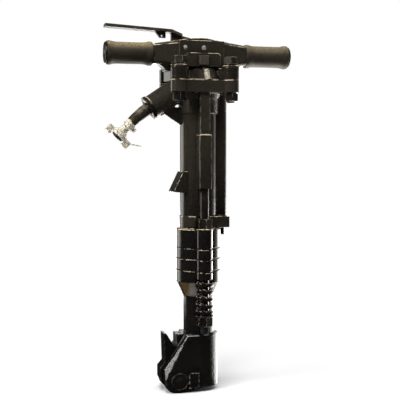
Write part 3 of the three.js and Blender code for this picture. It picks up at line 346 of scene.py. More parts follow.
def make_zinc():
    """Creamy zinc plate on a rough casting, golden in places, with grime in patches and darker in its
    hollows.
    """
    material, n = new_material("zinc_plate")
    where = n.place()
    spangle = n.noise(where, 500.0, 3.0, 0.6)
    colour = n.blend(n.span(n.noise(where, 60.0, 4.0, 0.6), 0.3, 0.7), ZINC_DULL, ZINC_BRIGHT)
    golden = n.span(n.noise(where, 170.0, 3.0), 0.48, 0.60, 0.0, 0.65)
    colour = n.blend(golden, colour, ZINC_GOLDEN)
    grime_and_hollows = n.span(n.noise(where, 260.0, 5.0, 0.7), 0.50, 0.61, 0.0, 0.95)
    # Darker in the hollows as well as in the grime patches.
    grime_and_hollows = n.larger(grime_and_hollows, n.span(n.open_air(0.004), 0.2, 0.8, 0.9, 0.0))
    colour = n.blend(grime_and_hollows, colour, ZINC_GRIME)
    rough = n.span(spangle, 0.3, 0.7, 0.25, 0.45)
    lumps = n.plus(spangle, n.times(n.noise(where, 140.0, 2.0), 5.0))
    normal = n.bump(lumps, 0.00025, n.soft_edge(0.0008))
    n.surface(**{"Base Color": colour, "Roughness": rough, "Normal": normal, "Metallic": 0.25})
    return material


STEEL_RUST = (0.060, 0.036, 0.022, 1.0)


def make_steel(name, dark, light, metallic, low, high):
    """Streaked steel, brass or rubber. Low and high limit the roughness."""
    material, n = new_material(name)
    where = n.place()
    streaks = n.noise(where, 700.0, 2.0, 0.6)
    colour = n.blend(n.span(n.noise(where, 45.0, 4.0, 0.6), 0.3, 0.7), dark, light)
    rust = n.span(n.noise(where, 90.0, 5.0, 0.75), 0.60, 0.78, 0.0, 0.5)
    colour = n.blend(rust, colour, STEEL_RUST)
    rough = n.span(streaks, 0.3, 0.7, low, high)
    normal = n.bump(streaks, 0.00004, n.soft_edge(0.0006))
    n.surface(**{"Base Color": colour, "Roughness": rough, "Normal": normal, "Metallic": metallic})
    return material


BROWN_DUST = (0.014, 0.012, 0.0092, 1.0)
BOLT_DARK = (0.013, 0.011, 0.0082, 1.0)
BOLT_LIGHT = (0.030, 0.0255, 0.0185, 1.0)
LEVER_DARK = (0.022, 0.0185, 0.0135, 1.0)
LEVER_LIGHT = (0.048, 0.040, 0.029, 1.0)
SPRING_GLINT_GOLD = (0.80, 0.70, 0.52, 1.0)
KEEPER_EDGE_HIGHLIGHT = (0.42, 0.38, 0.32, 1.0)
BRASS_DARK = (0.42, 0.27, 0.09, 1.0)
BRASS_LIGHT = (0.60, 0.42, 0.16, 1.0)

MATERIALS = {
    "black_paint": make_black_paint(),
    "smooth_black": make_smooth_black("smooth_black", grey(0.004), BROWN_DUST, 0.16, 0.28),
    "spring_black": make_smooth_black("spring_black", grey(0.004), BROWN_DUST, 0.14, 0.22, SPRING_GLINT_GOLD,
                                      top_glints=1.0),
    "gloss_black": make_smooth_black("gloss_black", grey(0.003), grey(0.006, 0.1), 0.05, 0.10),
    "bolt_black": make_smooth_black("bolt_black", BOLT_DARK, BOLT_LIGHT, 0.30, 0.42),
    "keeper_black": make_smooth_black("keeper_black", grey(0.004), grey(0.008, 0.1), 0.12, 0.22,
                                      KEEPER_EDGE_HIGHLIGHT, 0.0022),
    "dusty_black": make_smooth_black("dusty_black", LEVER_DARK, LEVER_LIGHT, 0.36, 0.50),
    "grip_rubber": make_grip_rubber(),
    "zinc_plate": make_zinc(),
    "bare_steel": make_steel("bare_steel", grey(0.38), grey(0.80, 0.02), 0.6, 0.24, 0.42),
    "dark_steel": make_steel("dark_steel", grey(0.006), grey(0.018, 0.06), 0.1, 0.26, 0.44),
    "oiled_black": make_steel("oiled_black", grey(0.002), grey(0.004), 0.0, 0.70, 0.85),
    "seal_rubber": make_steel("seal_rubber", grey(0.010), grey(0.020, 0.05), 0.0, 0.50, 0.68),
    "valve_brass": make_steel("valve_brass", BRASS_DARK, BRASS_LIGHT, 1.0, 0.25, 0.40),
}


def paint_nodes():
    """Give every CAD node the material of its slot."""
    slots = {entry["node"]: entry["material_slot"] for entry in frame["record"]["subparts"]}
    for name, obj in NODES.items():
        obj.data.materials.clear()
        obj.data.materials.append(MATERIALS[slots[name]])


BODY_OF = {}
for body_name, members in (frame["record"].get("behaviour") or {}).get("bodies", {}).items():
    for member in members:
        BODY_OF[member] = body_name


# Mesh pieces
def add_mesh(name, vertices, faces, material, body, nodes=(), sharp=None):
    """A piece from vertices in metres. Edges over the sharp angle in degrees keep their corner."""
    mesh = bpy.data.meshes.new(name)
    mesh.from_pydata([tuple(v) for v in vertices], [], faces)
    mesh.validate()
    obj = bpy.data.objects.new(name, mesh)
    bpy.context.scene.collection.objects.link(obj)
    return dress(obj, material, body, nodes, sharp)


def dress(obj, material, body, nodes=(), sharp=None):
    """Give a piece its look and its body, and hide the CAD nodes that it stands for."""
    obj.data.materials.clear()
    obj.data.materials.append(MATERIALS[material])
    obj.data.shade_smooth()
    if sharp is not None:
        obj.data.set_sharp_from_angle(angle=math.radians(sharp))
    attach(obj, body)
    if nodes:
        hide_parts(*nodes)
    return obj


def coordinates(mesh):
    flat = np.empty(len(mesh.vertices) * 3, dtype=np.float32)
    mesh.vertices.foreach_get("co", flat)
    return flat.reshape(-1, 3).astype(float)


def set_coordinates(mesh, points):
    mesh.vertices.foreach_set("co", points.astype(np.float32).ravel())
    mesh.update()


def evaluated_mesh(obj):
    bpy.context.view_layer.update()
    graph = bpy.context.evaluated_depsgraph_get()
    return bpy.data.meshes.new_from_object(obj.evaluated_get(graph))


def round_up(points, rounds):
    """Move points that lie just inside a round face of the casting out to its true radius. A round is
    (origin, axis, radius, lowest, highest, tolerance), all in millimetres."""
    for origin, axis, radius, lowest, highest, tolerance in rounds:
        axis = np.array(axis, float)
        axis /= np.linalg.norm(axis)
        offset = points / MM - np.array(origin, float)
        along = offset @ axis
        across = offset - along[:, None] * axis
        distance = np.linalg.norm(across, axis=1)
        short = radius - distance
        near = (along > lowest) & (along < highest) & (short > -tolerance) & (short < 2 * tolerance)
        share = np.clip((np.abs(short[near]) - 0.6 * tolerance) / (1.4 * tolerance), 0, 1) ** 2
        wanted = radius - short[near] * share
        points[near] += across[near] * (wanted / distance[near] - 1)[:, None] * MM
    return points


def cut_back(points, planes):
    """Move vertices beyond a plane back onto it, below a level and near the middle: a flat chamfer."""
    for normal, through, below, half_width in planes:
        across = np.array(normal, dtype=float)
        across /= np.linalg.norm(across)
        inside = (points[:, 2] < below * MM) & (np.abs(points[:, 1]) < half_width * MM)
        over = np.maximum(points @ across - np.dot(across, through) * MM, 0) * inside
        points = points - over[:, None] * across
    return points


def grooved(points, grooves):
    """Sink shallow grooves into upright round faces."""
    for middle_x, middle_y, radius, levels, width, depth in grooves:
        across = points[:, :2] / MM - np.array((middle_x, middle_y))
        distance = np.linalg.norm(across, axis=1)
        height = points[:, 2] / MM
        for level in levels:
            share = np.clip(1.4 - np.abs(height - level) * 2 / width, 0, 1)
            inside = (distance > radius - depth * 0.5) & (distance < radius + depth) & (share > 0)
            shrink = 1 - depth * share[inside] / distance[inside]
            points[inside, :2] = (across[inside] * shrink[:, None] + np.array((middle_x, middle_y))) * MM
    return points


def casting(node, name, voxel, smoothing, rounds=(), material="black_paint", planes=(), grooves=()):
    """A copy of a CAD casting with rounded edges and filleted corners."""
    source = bpy.data.objects.new("casting_source", NODES[node].data.copy())
    bpy.context.scene.collection.objects.link(source)
    remesh = source.modifiers.new("remesh", "REMESH")
    remesh.mode = "VOXEL"
    remesh.voxel_size = voxel * MM
    smooth = source.modifiers.new("smooth", "SMOOTH")
    smooth.factor = 0.5
    smooth.iterations = smoothing
    mesh = evaluated_mesh(source)
    bpy.data.objects.remove(source)
    low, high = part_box(node)
    points = cut_back(grooved(round_up(coordinates(mesh), rounds), grooves), planes)
    set_coordinates(mesh, np.clip(points, np.array(low), np.array(high)))
    mesh.name = name
    obj = bpy.data.objects.new(name, mesh)
    bpy.context.scene.collection.objects.link(obj)
    return dress(obj, material, BODY_OF[node], (node,))


# Sizes that several pieces share, in millimetres
SIDE_ROD_Y = 47.6
ROD_BOSS_RADIUS = 15.0
BOLT_SPACING = 50.0
BOLT_BOSS_RADIUS = 15.6
SKIRT_RADIUS = 36.5

# Round faces of the castings: origin, axis, radius, lowest, highest and tolerance
FRONTHEAD_ROUNDS = [
    ((0, 0, 0), UP, 29.6, 104, 184, 0.5),
    ((0, 0, 0), UP, 43.0, 205, 315, 0.5),
    ((0, -SIDE_ROD_Y, 0), UP, ROD_BOSS_RADIUS, 214, 315, 0.4),
    ((0, SIDE_ROD_Y, 0), UP, ROD_BOSS_RADIUS, 214, 315, 0.4),
]
CYLINDER_ROUNDS = [
    ((0, 0, 0), UP, 35.4, 333, 533, 0.5),
    ((0, 0, 0), UP, 38.5, 529, 560, 0.5),
    ((0, 0, 0), UP, 37.0, 311, 337, 0.5),
    ((44, 0, 0), UP, 11.5, 333, 570, 0.4),
    ((50, 0, 0), UP, 6.0, 333, 570, 0.3),
]
HOUSING_ROUNDS = [((0, 0, 0), UP, SKIRT_RADIUS, 6, 112, 0.5)]


def bolt_boss_rounds(lowest, highest):
    spots = [(x, y, 0) for x in (-BOLT_SPACING, BOLT_SPACING) for y in (-BOLT_SPACING, BOLT_SPACING)]
    return [(spot, UP, BOLT_BOSS_RADIUS, lowest, highest, 0.4) for spot in spots]


# Grooves across the two rod bosses, in line with those around the fronthead
GROOVE_LEVELS = (232.0, 254.5, 275.0)
GROOVE_WIDTH = 2.6
GROOVE_DEPTH = 0.9
FRONTHEAD_GROOVES = [(0, side_y, ROD_BOSS_RADIUS, GROOVE_LEVELS, GROOVE_WIDTH, GROOVE_DEPTH)
                     for side_y in (-SIDE_ROD_Y, SIDE_ROD_Y)]

# The cheeks' slope, from its top to its low end, in X and Z
SLOPE_TOP = (-30.0, 109.0)
SLOPE_LOW = (-73.0, 44.0)


def slope_chamfer(side, top_cut, low_cut):
    """The plane that bevels one cheek along its slope, wider at the low end."""
    top = np.array((SLOPE_TOP[0], 0, SLOPE_TOP[1]))
    low = np.array((SLOPE_LOW[0], 0, SLOPE_LOW[1]))
    length = np.linalg.norm(low - top)
    along = (low - top) / length
    outward = np.array((along[2], 0, -along[0]))
    face = np.array((0, side, 0))
    normal = outward + face + along * (low_cut - top_cut) / length
    return normal, top + face * SKIRT_RADIUS - outward * top_cut, top[2] + 1.0, 40.0


HOUSING_PLANES = [slope_chamfer(-1, 0.5, 8.5), slope_chamfer(1, 1.0, 8.0)]
WEB_PLANES = [((side_x * 0.97, -0.24, 0), (side_x * 58.0, -14.0, 0), 611.0, 15.0) for side_x in (-1, 1)]


def make_castings():
    casting("latch_housing", "latch_housing_casting", 0.9, 3, HOUSING_ROUNDS, planes=HOUSING_PLANES)
    casting("fronthead", "fronthead_casting", 0.9, 3, FRONTHEAD_ROUNDS, grooves=FRONTHEAD_GROOVES)
    casting("cylinder", "cylinder_casting", 1.0, 4, CYLINDER_ROUNDS + bolt_boss_rounds(565, 594))
    casting("backhead", "backhead_casting", 1.0, 4, bolt_boss_rounds(590, 622), planes=WEB_PLANES)
    casting("exhaust_deflector", "exhaust_deflector_casting", 0.7, 3)


# Stage: a pale floor that keeps the shadow, a white background and plain soft lamps
FLOOR_RADIUS = 1.0
FLOOR_SIDES = 96
DIAGONAL = 0.707
UNSEEN_LEVEL = 0.02


def make_floor():
    """A pale disc that fades to white away from the tool. In reflections it is dark in front and
    bright at the back right."""
    turns = [2 * math.pi * i / FLOOR_SIDES for i in range(FLOOR_SIDES)]
    corners = [(math.cos(turn) * FLOOR_RADIUS, math.sin(turn) * FLOOR_RADIUS, 0) for turn in turns]
    mesh = bpy.data.meshes.new("floor")
    mesh.from_pydata(corners, [], [tuple(range(FLOOR_SIDES))])
    floor = bpy.data.objects.new("floor", mesh)
    bpy.context.scene.collection.objects.link(floor)
    material, n = new_material("floor")
    where = n.place()
    distance = n.add("ShaderNodeVectorMath", {0: where}, operation="LENGTH").outputs["Value"]
    axes = n.parts(where)
    side = n.plus(n.times(axes["Y"], DIAGONAL), n.times(axes["X"], DIAGONAL))
    side = n.math("DIVIDE", side, n.larger(distance, 0.01))
    mirrored = n.mix(n.span(side, 0.45, 0.80), UNSEEN_LEVEL, 1.0)
    mirrored = n.plus(mirrored, n.span(side, 0.45, 0.90, 0.0, 4.5))
    ray = n.add("ShaderNodeLightPath").outputs
    level = n.mix(ray["Is Glossy Ray"], 1.0, mirrored)
    glow = n.larger(n.times(ray["Is Camera Ray"], n.span(distance, 0.08, 0.42)), ray["Is Glossy Ray"])
    pale = n.add("ShaderNodeBsdfDiffuse", {"Color": (0.9, 0.9, 0.9, 1.0)}).outputs[0]
    white = n.add("ShaderNodeEmission", {"Color": (1, 1, 1, 1), "Strength": level}).outputs[0]
    mixed = n.add("ShaderNodeMixShader", {0: glow, 1: pale, 2: white}).outputs[0]
    out = n.add("ShaderNodeOutputMaterial")
    n.tree.links.new(mixed, out.inputs["Surface"])
    floor.data.materials.append(material)


# Directions in the world's light
BACK_RIGHT = Vector((0.686, 0.855, 0.0))
LEFT_BACK = Vector((-0.67, 0.742, 0.0))
LEFT_WINDOW = Vector((-0.83, -0.28, 0.48)).normalized()


def make_world():
    """White where the camera looks. In reflections it is dark in front, grey overhead and white at the
    back, with a bright low band at the back right, a strip at the back left and a window on the left."""
    world = bpy.data.worlds.new("studio")
    world.use_nodes = True
    bpy.context.scene.world = world
    n = Nodes(world.node_tree)
    toward = n.add("ShaderNodeTexCoord").outputs["Generated"]
    axes = n.parts(toward)
    back = n.dot(toward, BACK_RIGHT)
    raised = n.span(axes["Z"], -0.065, -0.045)
    behind = n.mix(raised, n.span(back, 0.40, 0.68), n.span(back, 0.76, 0.93))
    level = n.mix(behind, UNSEEN_LEVEL, 1.0)
    band = n.times(n.between(axes["Z"], (-0.16, -0.15), (-0.075, -0.060)), n.span(back, 0.76, 0.90))
    level = n.plus(level, n.times(band, 11.0))
    above = n.times(n.span(axes["Z"], 0.3, 0.9), n.span(axes["X"], -0.25, 0.25, 0.15, 1.0))
    level = n.mix(above, level, 0.7)
    level = n.larger(level, n.times(n.span(n.dot(toward, LEFT_BACK), 0.93, 0.985), 2.6))
    level = n.larger(level, n.times(n.span(n.dot(toward, LEFT_WINDOW), 0.955, 0.99), 12.0))
    ray = n.add("ShaderNodeLightPath").outputs
    seen = n.larger(ray["Is Camera Ray"], ray["Is Transmission Ray"])
    shader = n.add("ShaderNodeBackground", {"Color": (1, 1, 1, 1), "Strength": n.mix(seen, level, 1.0)})
    out = n.add("ShaderNodeOutputWorld")
    n.tree.links.new(shader.outputs[0], out.inputs["Surface"])


def add_lamp(name, azimuth, height, distance, width, tall, power, aim=0.36, mirrored=True):
    """An area lamp that looks at the tool at the aim level. Azimuth 0 is in front of the tool and 90
    is at its right. One that isn't mirrored only lights the tool."""
    data = bpy.data.lights.new(name, "AREA")
    data.shape = "RECTANGLE"
    data.size = width
    data.size_y = tall
    data.energy = power
    lamp = bpy.data.objects.new(name, data)
    bpy.context.scene.collection.objects.link(lamp)
    turn = math.radians(azimuth)
    spot = Vector((math.sin(turn) * distance, -math.cos(turn) * distance, height))
    toward = Vector((0, 0, aim)) - spot
    lamp.visible_camera = False
    lamp.visible_glossy = mirrored
    lamp.matrix_world = Matrix.Translation(spot) @ toward.to_track_quat("-Z", "Y").to_matrix().to_4x4()


make_floor()
make_world()
add_lamp("key_lamp", azimuth=-30, height=2.3, distance=1.0, width=0.6, tall=0.6, power=34, mirrored=False)
add_lamp("fill_lamp", azimuth=34, height=2.0, distance=1.3, width=0.32, tall=0.32, power=9)
add_lamp("back_lamp", azimuth=195, height=0.5, distance=1.7, width=1.4, tall=1.1, power=14, aim=0.4,
         mirrored=False)


# Turned, hexagonal and coiled pieces
def softened(points, radius, closed=False, steps=3):
    """A flat outline with its corners rounded. An open one keeps its first and last point."""
    points = [np.array(p, float) for p in points]
    count = len(points)
    result = []
    for index, corner in enumerate(points):
        if not closed and index in (0, count - 1):
            result.append(corner)
            continue
        before = points[index - 1] - corner
        after = points[(index + 1) % count] - corner
        room = 0.45 * min(np.linalg.norm(before), np.linalg.norm(after))
        if room < 1e-6:
            result.append(corner)
            continue
        before /= np.linalg.norm(before)
        after /= np.linalg.norm(after)
        cut = min(radius, room)
        for step in range(steps + 1):
            s = step / steps
            inward = cut * ((1 - s) ** 2 * before + s ** 2 * after)
            result.append(corner + inward)
    return result


def placed(points, origin, direction):
    """Points in millimetres turned so that Z runs along a direction, then moved and made metres."""
    turn = np.array(Vector(direction).normalized().to_track_quat("Z", "Y").to_matrix())
    return (np.array(points, float) @ turn.T + np.array(origin, float)) * MM


def circle(sides, radius=1.0, spin=0.0):
    turns = [2 * math.pi * side / sides + spin for side in range(sides)]
    return [(math.cos(turn) * radius, math.sin(turn) * radius) for turn in turns]


def ring_faces(first, second, sides):
    """The faces between two rings, given by their first vertices."""
    return [(first + side, first + (side + 1) % sides, second + (side + 1) % sides, second + side)
            for side in range(sides)]


def tube_faces(rings, sides):
    """The faces of a tube of rings, with a flat face at each end."""
    faces = []
    for ring in range(rings - 1):
        faces += ring_faces(ring * sides, (ring + 1) * sides, sides)
    faces.append(tuple(range(sides - 1, -1, -1)))
    faces.append(tuple((rings - 1) * sides + side for side in range(sides)))
    return faces


def lathe_mesh(profile, sides, closed=False):
    """Vertices and faces of a turned body about Z. The profile is (radius, level), from low to high
    outside. A closed one is a ring, and an open one starts and ends on the axis."""
    vertices = []
    faces = []
    rings = []
    for radius, level in profile:
        if radius < 1e-6:
            rings.append([len(vertices)] * sides)
            vertices.append((0, 0, level))
            continue
        rings.append(list(range(len(vertices), len(vertices) + sides)))
        vertices += [(x, y, level) for x, y in circle(sides, radius)]
    pairs = list(zip(rings, rings[1:]))
    if closed:
        pairs.append((rings[-1], rings[0]))
    for lower, upper in pairs:
        for side in range(sides):
            beside = (side + 1) % sides
            face = [lower[side], lower[beside], upper[beside], upper[side]]
            face = [v for i, v in enumerate(face) if v != face[i - 1]]
            if len(face) > 2:
                faces.append(face)
    return vertices, faces


def plain_profile(bore, radius, low, high):
    """The outline of a plain ring, or of a rod where the bore is zero."""
    return [(bore, low), (radius, low), (radius, high), (bore, high)]


def turned(name, profile, origin, direction, material, body, nodes=(), edge=0.6, sides=64, closed=False,
           sharp=40):
    vertices, faces = lathe_mesh(softened(profile, edge, closed), sides, closed)
    return add_mesh(name, placed(vertices, origin, direction), faces, material, body, nodes, sharp)


NUT_LEAD = 0.8


def hex_rings(across, low, high, chamfer_low, chamfer_high, samples=96, spin=0.0):
    """The outer rings of a hexagon whose ends are turned to a cone, as on a nut or a bolt head."""
    inner = across / 2 * 0.94
    slope = math.tan(math.radians(30))
    rings = [[], [], [], []]
    for sample in range(samples):
        turn = 2 * math.pi * sample / samples
        local = (turn + math.pi / 6) % (math.pi / 3) - math.pi / 6
        radius = across / 2 / math.cos(local)
        drop = (radius - inner) * slope
        bottom = low + (drop if chamfer_low else 0)
        top = high - (drop if chamfer_high else 0)
        x, y = math.cos(turn + spin), math.sin(turn + spin)
        rings[0].append((x * inner, y * inner, low))
        rings[1].append((x * radius, y * radius, bottom))
        rings[2].append((x * radius, y * radius, top))
        rings[3].append((x * inner, y * inner, high))
    return rings


def hexed(name, across, low, high, bore, origin, direction, material, body, nodes=(), ends=(True, True),
          spin=0.0):
    """A hexagon nut with a threaded bore, or a plain head where the bore is zero."""
    rings = hex_rings(across, low, high, ends[0], ends[1], spin=spin)
    samples = len(rings[0])
    vertices = [v for ring in rings for v in ring]
    if bore:
        bore_rings = ((bore + NUT_LEAD, high), (bore, high - NUT_LEAD), (bore, low + NUT_LEAD),
                      (bore + NUT_LEAD, low))
        for radius, level in bore_rings:
            vertices += [(x, y, level) for x, y in circle(samples, radius, spin)]
        count = len(rings) + len(bore_rings)
        faces = []
        for ring in range(count):
            faces += ring_faces(ring * samples, (ring + 1) % count * samples, samples)
    else:
        faces = tube_faces(len(rings), samples)
    return add_mesh(name, placed(vertices, origin, direction), faces, material, body, nodes, sharp=25)


def thread_mesh(radius, low, high, pitch=2.0, depth=0.9, sides=48):
    """A threaded end: a cylinder whose radius follows a helix of the given pitch, with a chamfered tip."""
    steps = max(4, int((high - low) / (pitch / 6)))
    vertices = []
    for step in range(steps + 1):
        level = low + (high - low) * step / steps
        tip = max(0.0, 1.6 - (level - low)) * 0.9
        for side in range(sides):
            share = side / sides
            phase = ((level / pitch) - share) % 1.0
            groove = depth * (1 - abs(2 * phase - 1) ** 1.5)
            reach = radius - max(groove, tip)
            turn = 2 * math.pi * share
            vertices.append((math.cos(turn) * reach, math.sin(turn) * reach, level))
    return vertices, tube_faces(steps + 1, sides)


def merged(*meshes):
    vertices = []
    faces = []
    for more_vertices, more_faces in meshes:
        shift = len(vertices)
        vertices += list(more_vertices)
        faces += [tuple(v + shift for v in face) for face in more_faces]
    return vertices, faces


def swept(path, radii, sides):
    """A tube along a path of points, with one radius for all of them or one for each."""
    path = [Vector(p) for p in path]
    if not hasattr(radii, "__len__"):
        radii = [radii] * len(path)
    vertices = []
    across = None
    last = len(path) - 1
    for index, point in enumerate(path):
        ahead = path[min(index + 1, last)] - path[max(index - 1, 0)]
        ahead.normalize()
        if across is None:
            across = ahead.orthogonal().normalized()
        across = (across - ahead * across.dot(ahead)).normalized()
        other = ahead.cross(across)
        vertices += [tuple(point + across * x + other * y) for x, y in circle(sides, radii[index])]
    return vertices, tube_faces(len(path), sides)


def spring_path(radius, wire, bottom, top, turns, closed_turns, per_turn=28):
    """A left-hand coil whose first and last turns lie close, as on a ground compression spring."""
    low, high = bottom + wire / 2, top - wire / 2
    close_pitch = wire * 1.04
    middle_turns = turns - 2 * closed_turns
    pitch = (high - low - 2 * closed_turns * close_pitch) / middle_turns
    path = []
    steps = int(turns * per_turn)
    for step in range(steps + 1):
        done = turns * step / steps
        level = low + close_pitch * min(done, closed_turns)
        level += pitch * min(max(done - closed_turns, 0), middle_turns)
        level += close_pitch * max(done - closed_turns - middle_turns, 0)
        turn = -2 * math.pi * done
        path.append((math.cos(turn) * radius, math.sin(turn) * radius, level))
    return path


def eased(path, passes):
    """Round the changes of pitch without moving the ends."""
    points = np.array(path)
    for _ in range(passes):
        levels = points[:, 2].copy()
        levels[1:-1] = (levels[:-2] + 2 * levels[1:-1] + levels[2:]) / 4
        points[:, 2] = levels
    return points


def coil(name, radius, wire, bottom, top, turns, closed_turns, origin, material, body, nodes):
    path = eased(spring_path(radius, wire, bottom, top, turns, closed_turns), 12)
    vertices, faces = swept(path, wire / 2, 14)
    vertices = np.array(vertices)
    vertices[:, 2] = np.clip(vertices[:, 2], bottom, top)
    vertices = (vertices + np.array(origin, float)) * MM
    return add_mesh(name, vertices, faces, material, body, nodes, sharp=60)


ROOT = BODY_OF["cylinder"]
ROD_RADIUS = 8.0
NUT_BORE = 8.3
ROD_BOTTOM = 114.0
ROD_THREAD_TOP = 145.0
ROD_TOP = 412.0
THREAD_OVERLAP = 0.2
SPRING_RADIUS = 12.8
SPRING_WIRE = 8.2
SPRING_TURNS = 4.75
SPRING_CLOSED_TURNS = 0.62

# Nuts of the side rods: width across flats, lowest and highest level
JAM_NUT = (24.0, 313.3, 332.3)
BOTTOM_NUT = (27.0, 128.0, 146.0)

# Washers: bore, radius, lowest and highest level
SEAT_WASHER = (8.4, 17.0, 146.05, 149.0)
LOCK_WASHER = (8.1, 12.6, 619.3, 622.2)


def make_side_rods():
    for label, side in (("front", -1), ("back", 1)):
        y = side * SIDE_ROD_Y
        origin = (0, y, 0)
        vertices, faces = lathe_mesh(plain_profile(0, ROD_RADIUS, ROD_THREAD_TOP, ROD_TOP), 48)
        add_mesh(f"side_rod_{label}_shaft", placed(vertices, origin, UP), faces, "smooth_black", ROOT,
                 (f"side_rod_{label}",), sharp=50)
        vertices, faces = thread_mesh(ROD_RADIUS, ROD_BOTTOM, ROD_THREAD_TOP + THREAD_OVERLAP)
        add_mesh(f"side_rod_{label}_thread", placed(vertices, origin, UP), faces, "oiled_black", ROOT,
                 sharp=50)
        hexed(f"jam_nut_{label}", *JAM_NUT, NUT_BORE, origin, UP, "smooth_black", ROOT,
              (f"side_rod_jam_nut_{label}",))
        hexed(f"bottom_nut_{label}", *BOTTOM_NUT, NUT_BORE, origin, UP, "smooth_black", ROOT,
              (f"side_rod_nut_{label}",))
        turned(f"seat_washer_{label}", plain_profile(*SEAT_WASHER), origin, UP, "smooth_black", ROOT,
               (f"spring_washer_{label}",), edge=0.8, closed=True)
        low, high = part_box(f"side_spring_{label}")
        bottom, top = low[2] / MM, high[2] / MM
        spring = coil(f"side_spring_{label}_coil", SPRING_RADIUS, SPRING_WIRE, bottom, top, SPRING_TURNS,
                      SPRING_CLOSED_TURNS, origin, "spring_black", ROOT, (f"side_spring_{label}",))
        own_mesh(spring)


def make_small_springs():
    """The springs of the plunger and the throttle valve, which those parts press on."""
    rows = [("latch_plunger_spring", 3.4, 0.8, "latch_plunger_slide", True, 2.2),
            ("throttle_valve_spring", 6.5, 1.2, "throttle_valve_slide", False, 1.9)]
    for node, radius, wire, joint, held_at_top, travel in rows:
        low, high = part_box(node)
        bottom, top = low[2] / MM, high[2] / MM
        middle_x, middle_y = (low[0] + high[0]) / 2, (low[1] + high[1]) / 2
        spring = coil(f"{node}_coil", radius, wire, bottom, top, 3.0, 0.5, (middle_x / MM, middle_y / MM, 0),
                      "dark_steel", BODY_OF[node], (node,))
        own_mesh(spring)


def make_backhead_bolts():
    """Each bolt has a threaded shank, a head, a lock washer and a nut. The heads stand at odd turns."""
    tip, nut_low, nut_high = 549.5, 552.2, 568.2
    head_low, head_high = 622.3, 635.3
    across = 24.0
    corners = [("front_left", -1, -1, 15.5), ("front_right", 1, -1, -14.5), ("back_left", -1, 1, 8.0),
               ("back_right", 1, 1, 40.0)]
    for label, side_x, side_y, turn in corners:
        origin = (side_x * BOLT_SPACING, side_y * BOLT_SPACING, 0)
        shank = lathe_mesh(plain_profile(0, ROD_RADIUS, nut_high, head_low), 48)
        vertices, faces = merged(thread_mesh(ROD_RADIUS, tip, nut_high + THREAD_OVERLAP), shank)
        add_mesh(f"bolt_shank_{label}", placed(vertices, origin, UP), faces, "dark_steel", ROOT,
                 (f"backhead_bolt_{label}",), sharp=50)
        hexed(f"bolt_head_{label}", across, head_low, head_high, 0, origin, UP, "bolt_black", ROOT,
              ends=(False, True), spin=math.radians(turn))
        turned(f"lock_washer_{label}", plain_profile(*LOCK_WASHER), origin, UP, "smooth_black", ROOT,
               edge=0.5, closed=True)
        hexed(f"bolt_nut_{label}", across, nut_low, nut_high, NUT_BORE, origin, UP, "smooth_black", ROOT,
              (f"backhead_nut_{label}",))


HANDLE_LEVEL = 643.5


def make_grips():
    """Rubber grips with a rim at each end and a slight bow between, and steel caps in their ends."""
    start, end = 91.3, 178.0
    bore, rim, waist = 13.95, 22.8, 20.4
    profile = [(bore, start), (rim - 0.4, start), (rim, start + 7), (waist + 0.9, start + 11.5)]
    for share in (0.2, 0.35, 0.5, 0.65, 0.8):
        bow = 0.27 * (2 * share - 1) ** 2
        profile.append((waist + bow, start + (end - start) * share))
    profile += [(waist + 0.9, end - 11.5), (rim, end - 7), (rim - 0.4, end), (bore, end)]
    cap = [(0, 178.3), (20.2, 178.3), (20.6, 180.0), (18.5, 181.7), (6.0, 181.7), (4.5, 180.9), (0, 180.9)]
    for label, side in (("left", -1), ("right", 1)):
        origin, outward = (0, 0, HANDLE_LEVEL), (side, 0, 0)
        turned(f"grip_{label}_rubber", profile, origin, outward, "grip_rubber", ROOT, (f"grip_{label}",),
               edge=2.2, sides=96, closed=True, sharp=80)
        turned(f"end_cap_{label}_disc", cap, origin, outward, "smooth_black", ROOT,
               (f"end_cap_{label}",), edge=0.8, sides=80)


def make_levers_and_latch():
    casting("throttle_lever", "throttle_lever_forging", 0.5, 6, material="dusty_black")
    casting("latch", "latch_forging", 0.6, 6, material="gloss_black")
    casting("pin_keeper", "pin_keeper_plate", 0.5, 4, material="keeper_black")
    rod = plain_profile(0, 3.5, -27.6, 27.6)
    for pin, x in (("lever_pivot_pin", 4.0), ("lever_stop_pin", -32.0)):
        turned(f"{pin}_rod", rod, (x, 0, 655), (0, 1, 0), "bare_steel", ROOT, (pin,), edge=0.7, sides=32)
    head = SKIRT_RADIUS + 0.3
    profile = [(0, -head - 4.5), (6.0, -head - 4.5), (7.0, -head - 3.6), (14.6, -head - 3.6),
               (15.4, -head - 4.5), (17.0, -head - 3.9), (17.0, -head), (9.0, -head), (9.0, 40.5),
               (0, 40.5)]
    turned("latch_pin_turned", profile, (-46.0, 0, 22.5), (0, 1, 0), "smooth_black", BODY_OF["latch_pin"],
           ("latch_pin",), edge=0.8, sides=72)


def make_plugs():
    casting("oil_plug", "oil_plug_square", 0.4, 3, material="dusty_black")
    low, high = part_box("passage_plug")
    middle_x = (low[0] + high[0]) / 2 / MM
    profile = plain_profile(0, 4.2, low[2] / MM, high[2] / MM)
    turned("passage_plug_rod", profile, (middle_x, 0, 0), UP, "smooth_black", ROOT, ("passage_plug",),
           edge=0.6, sides=40)


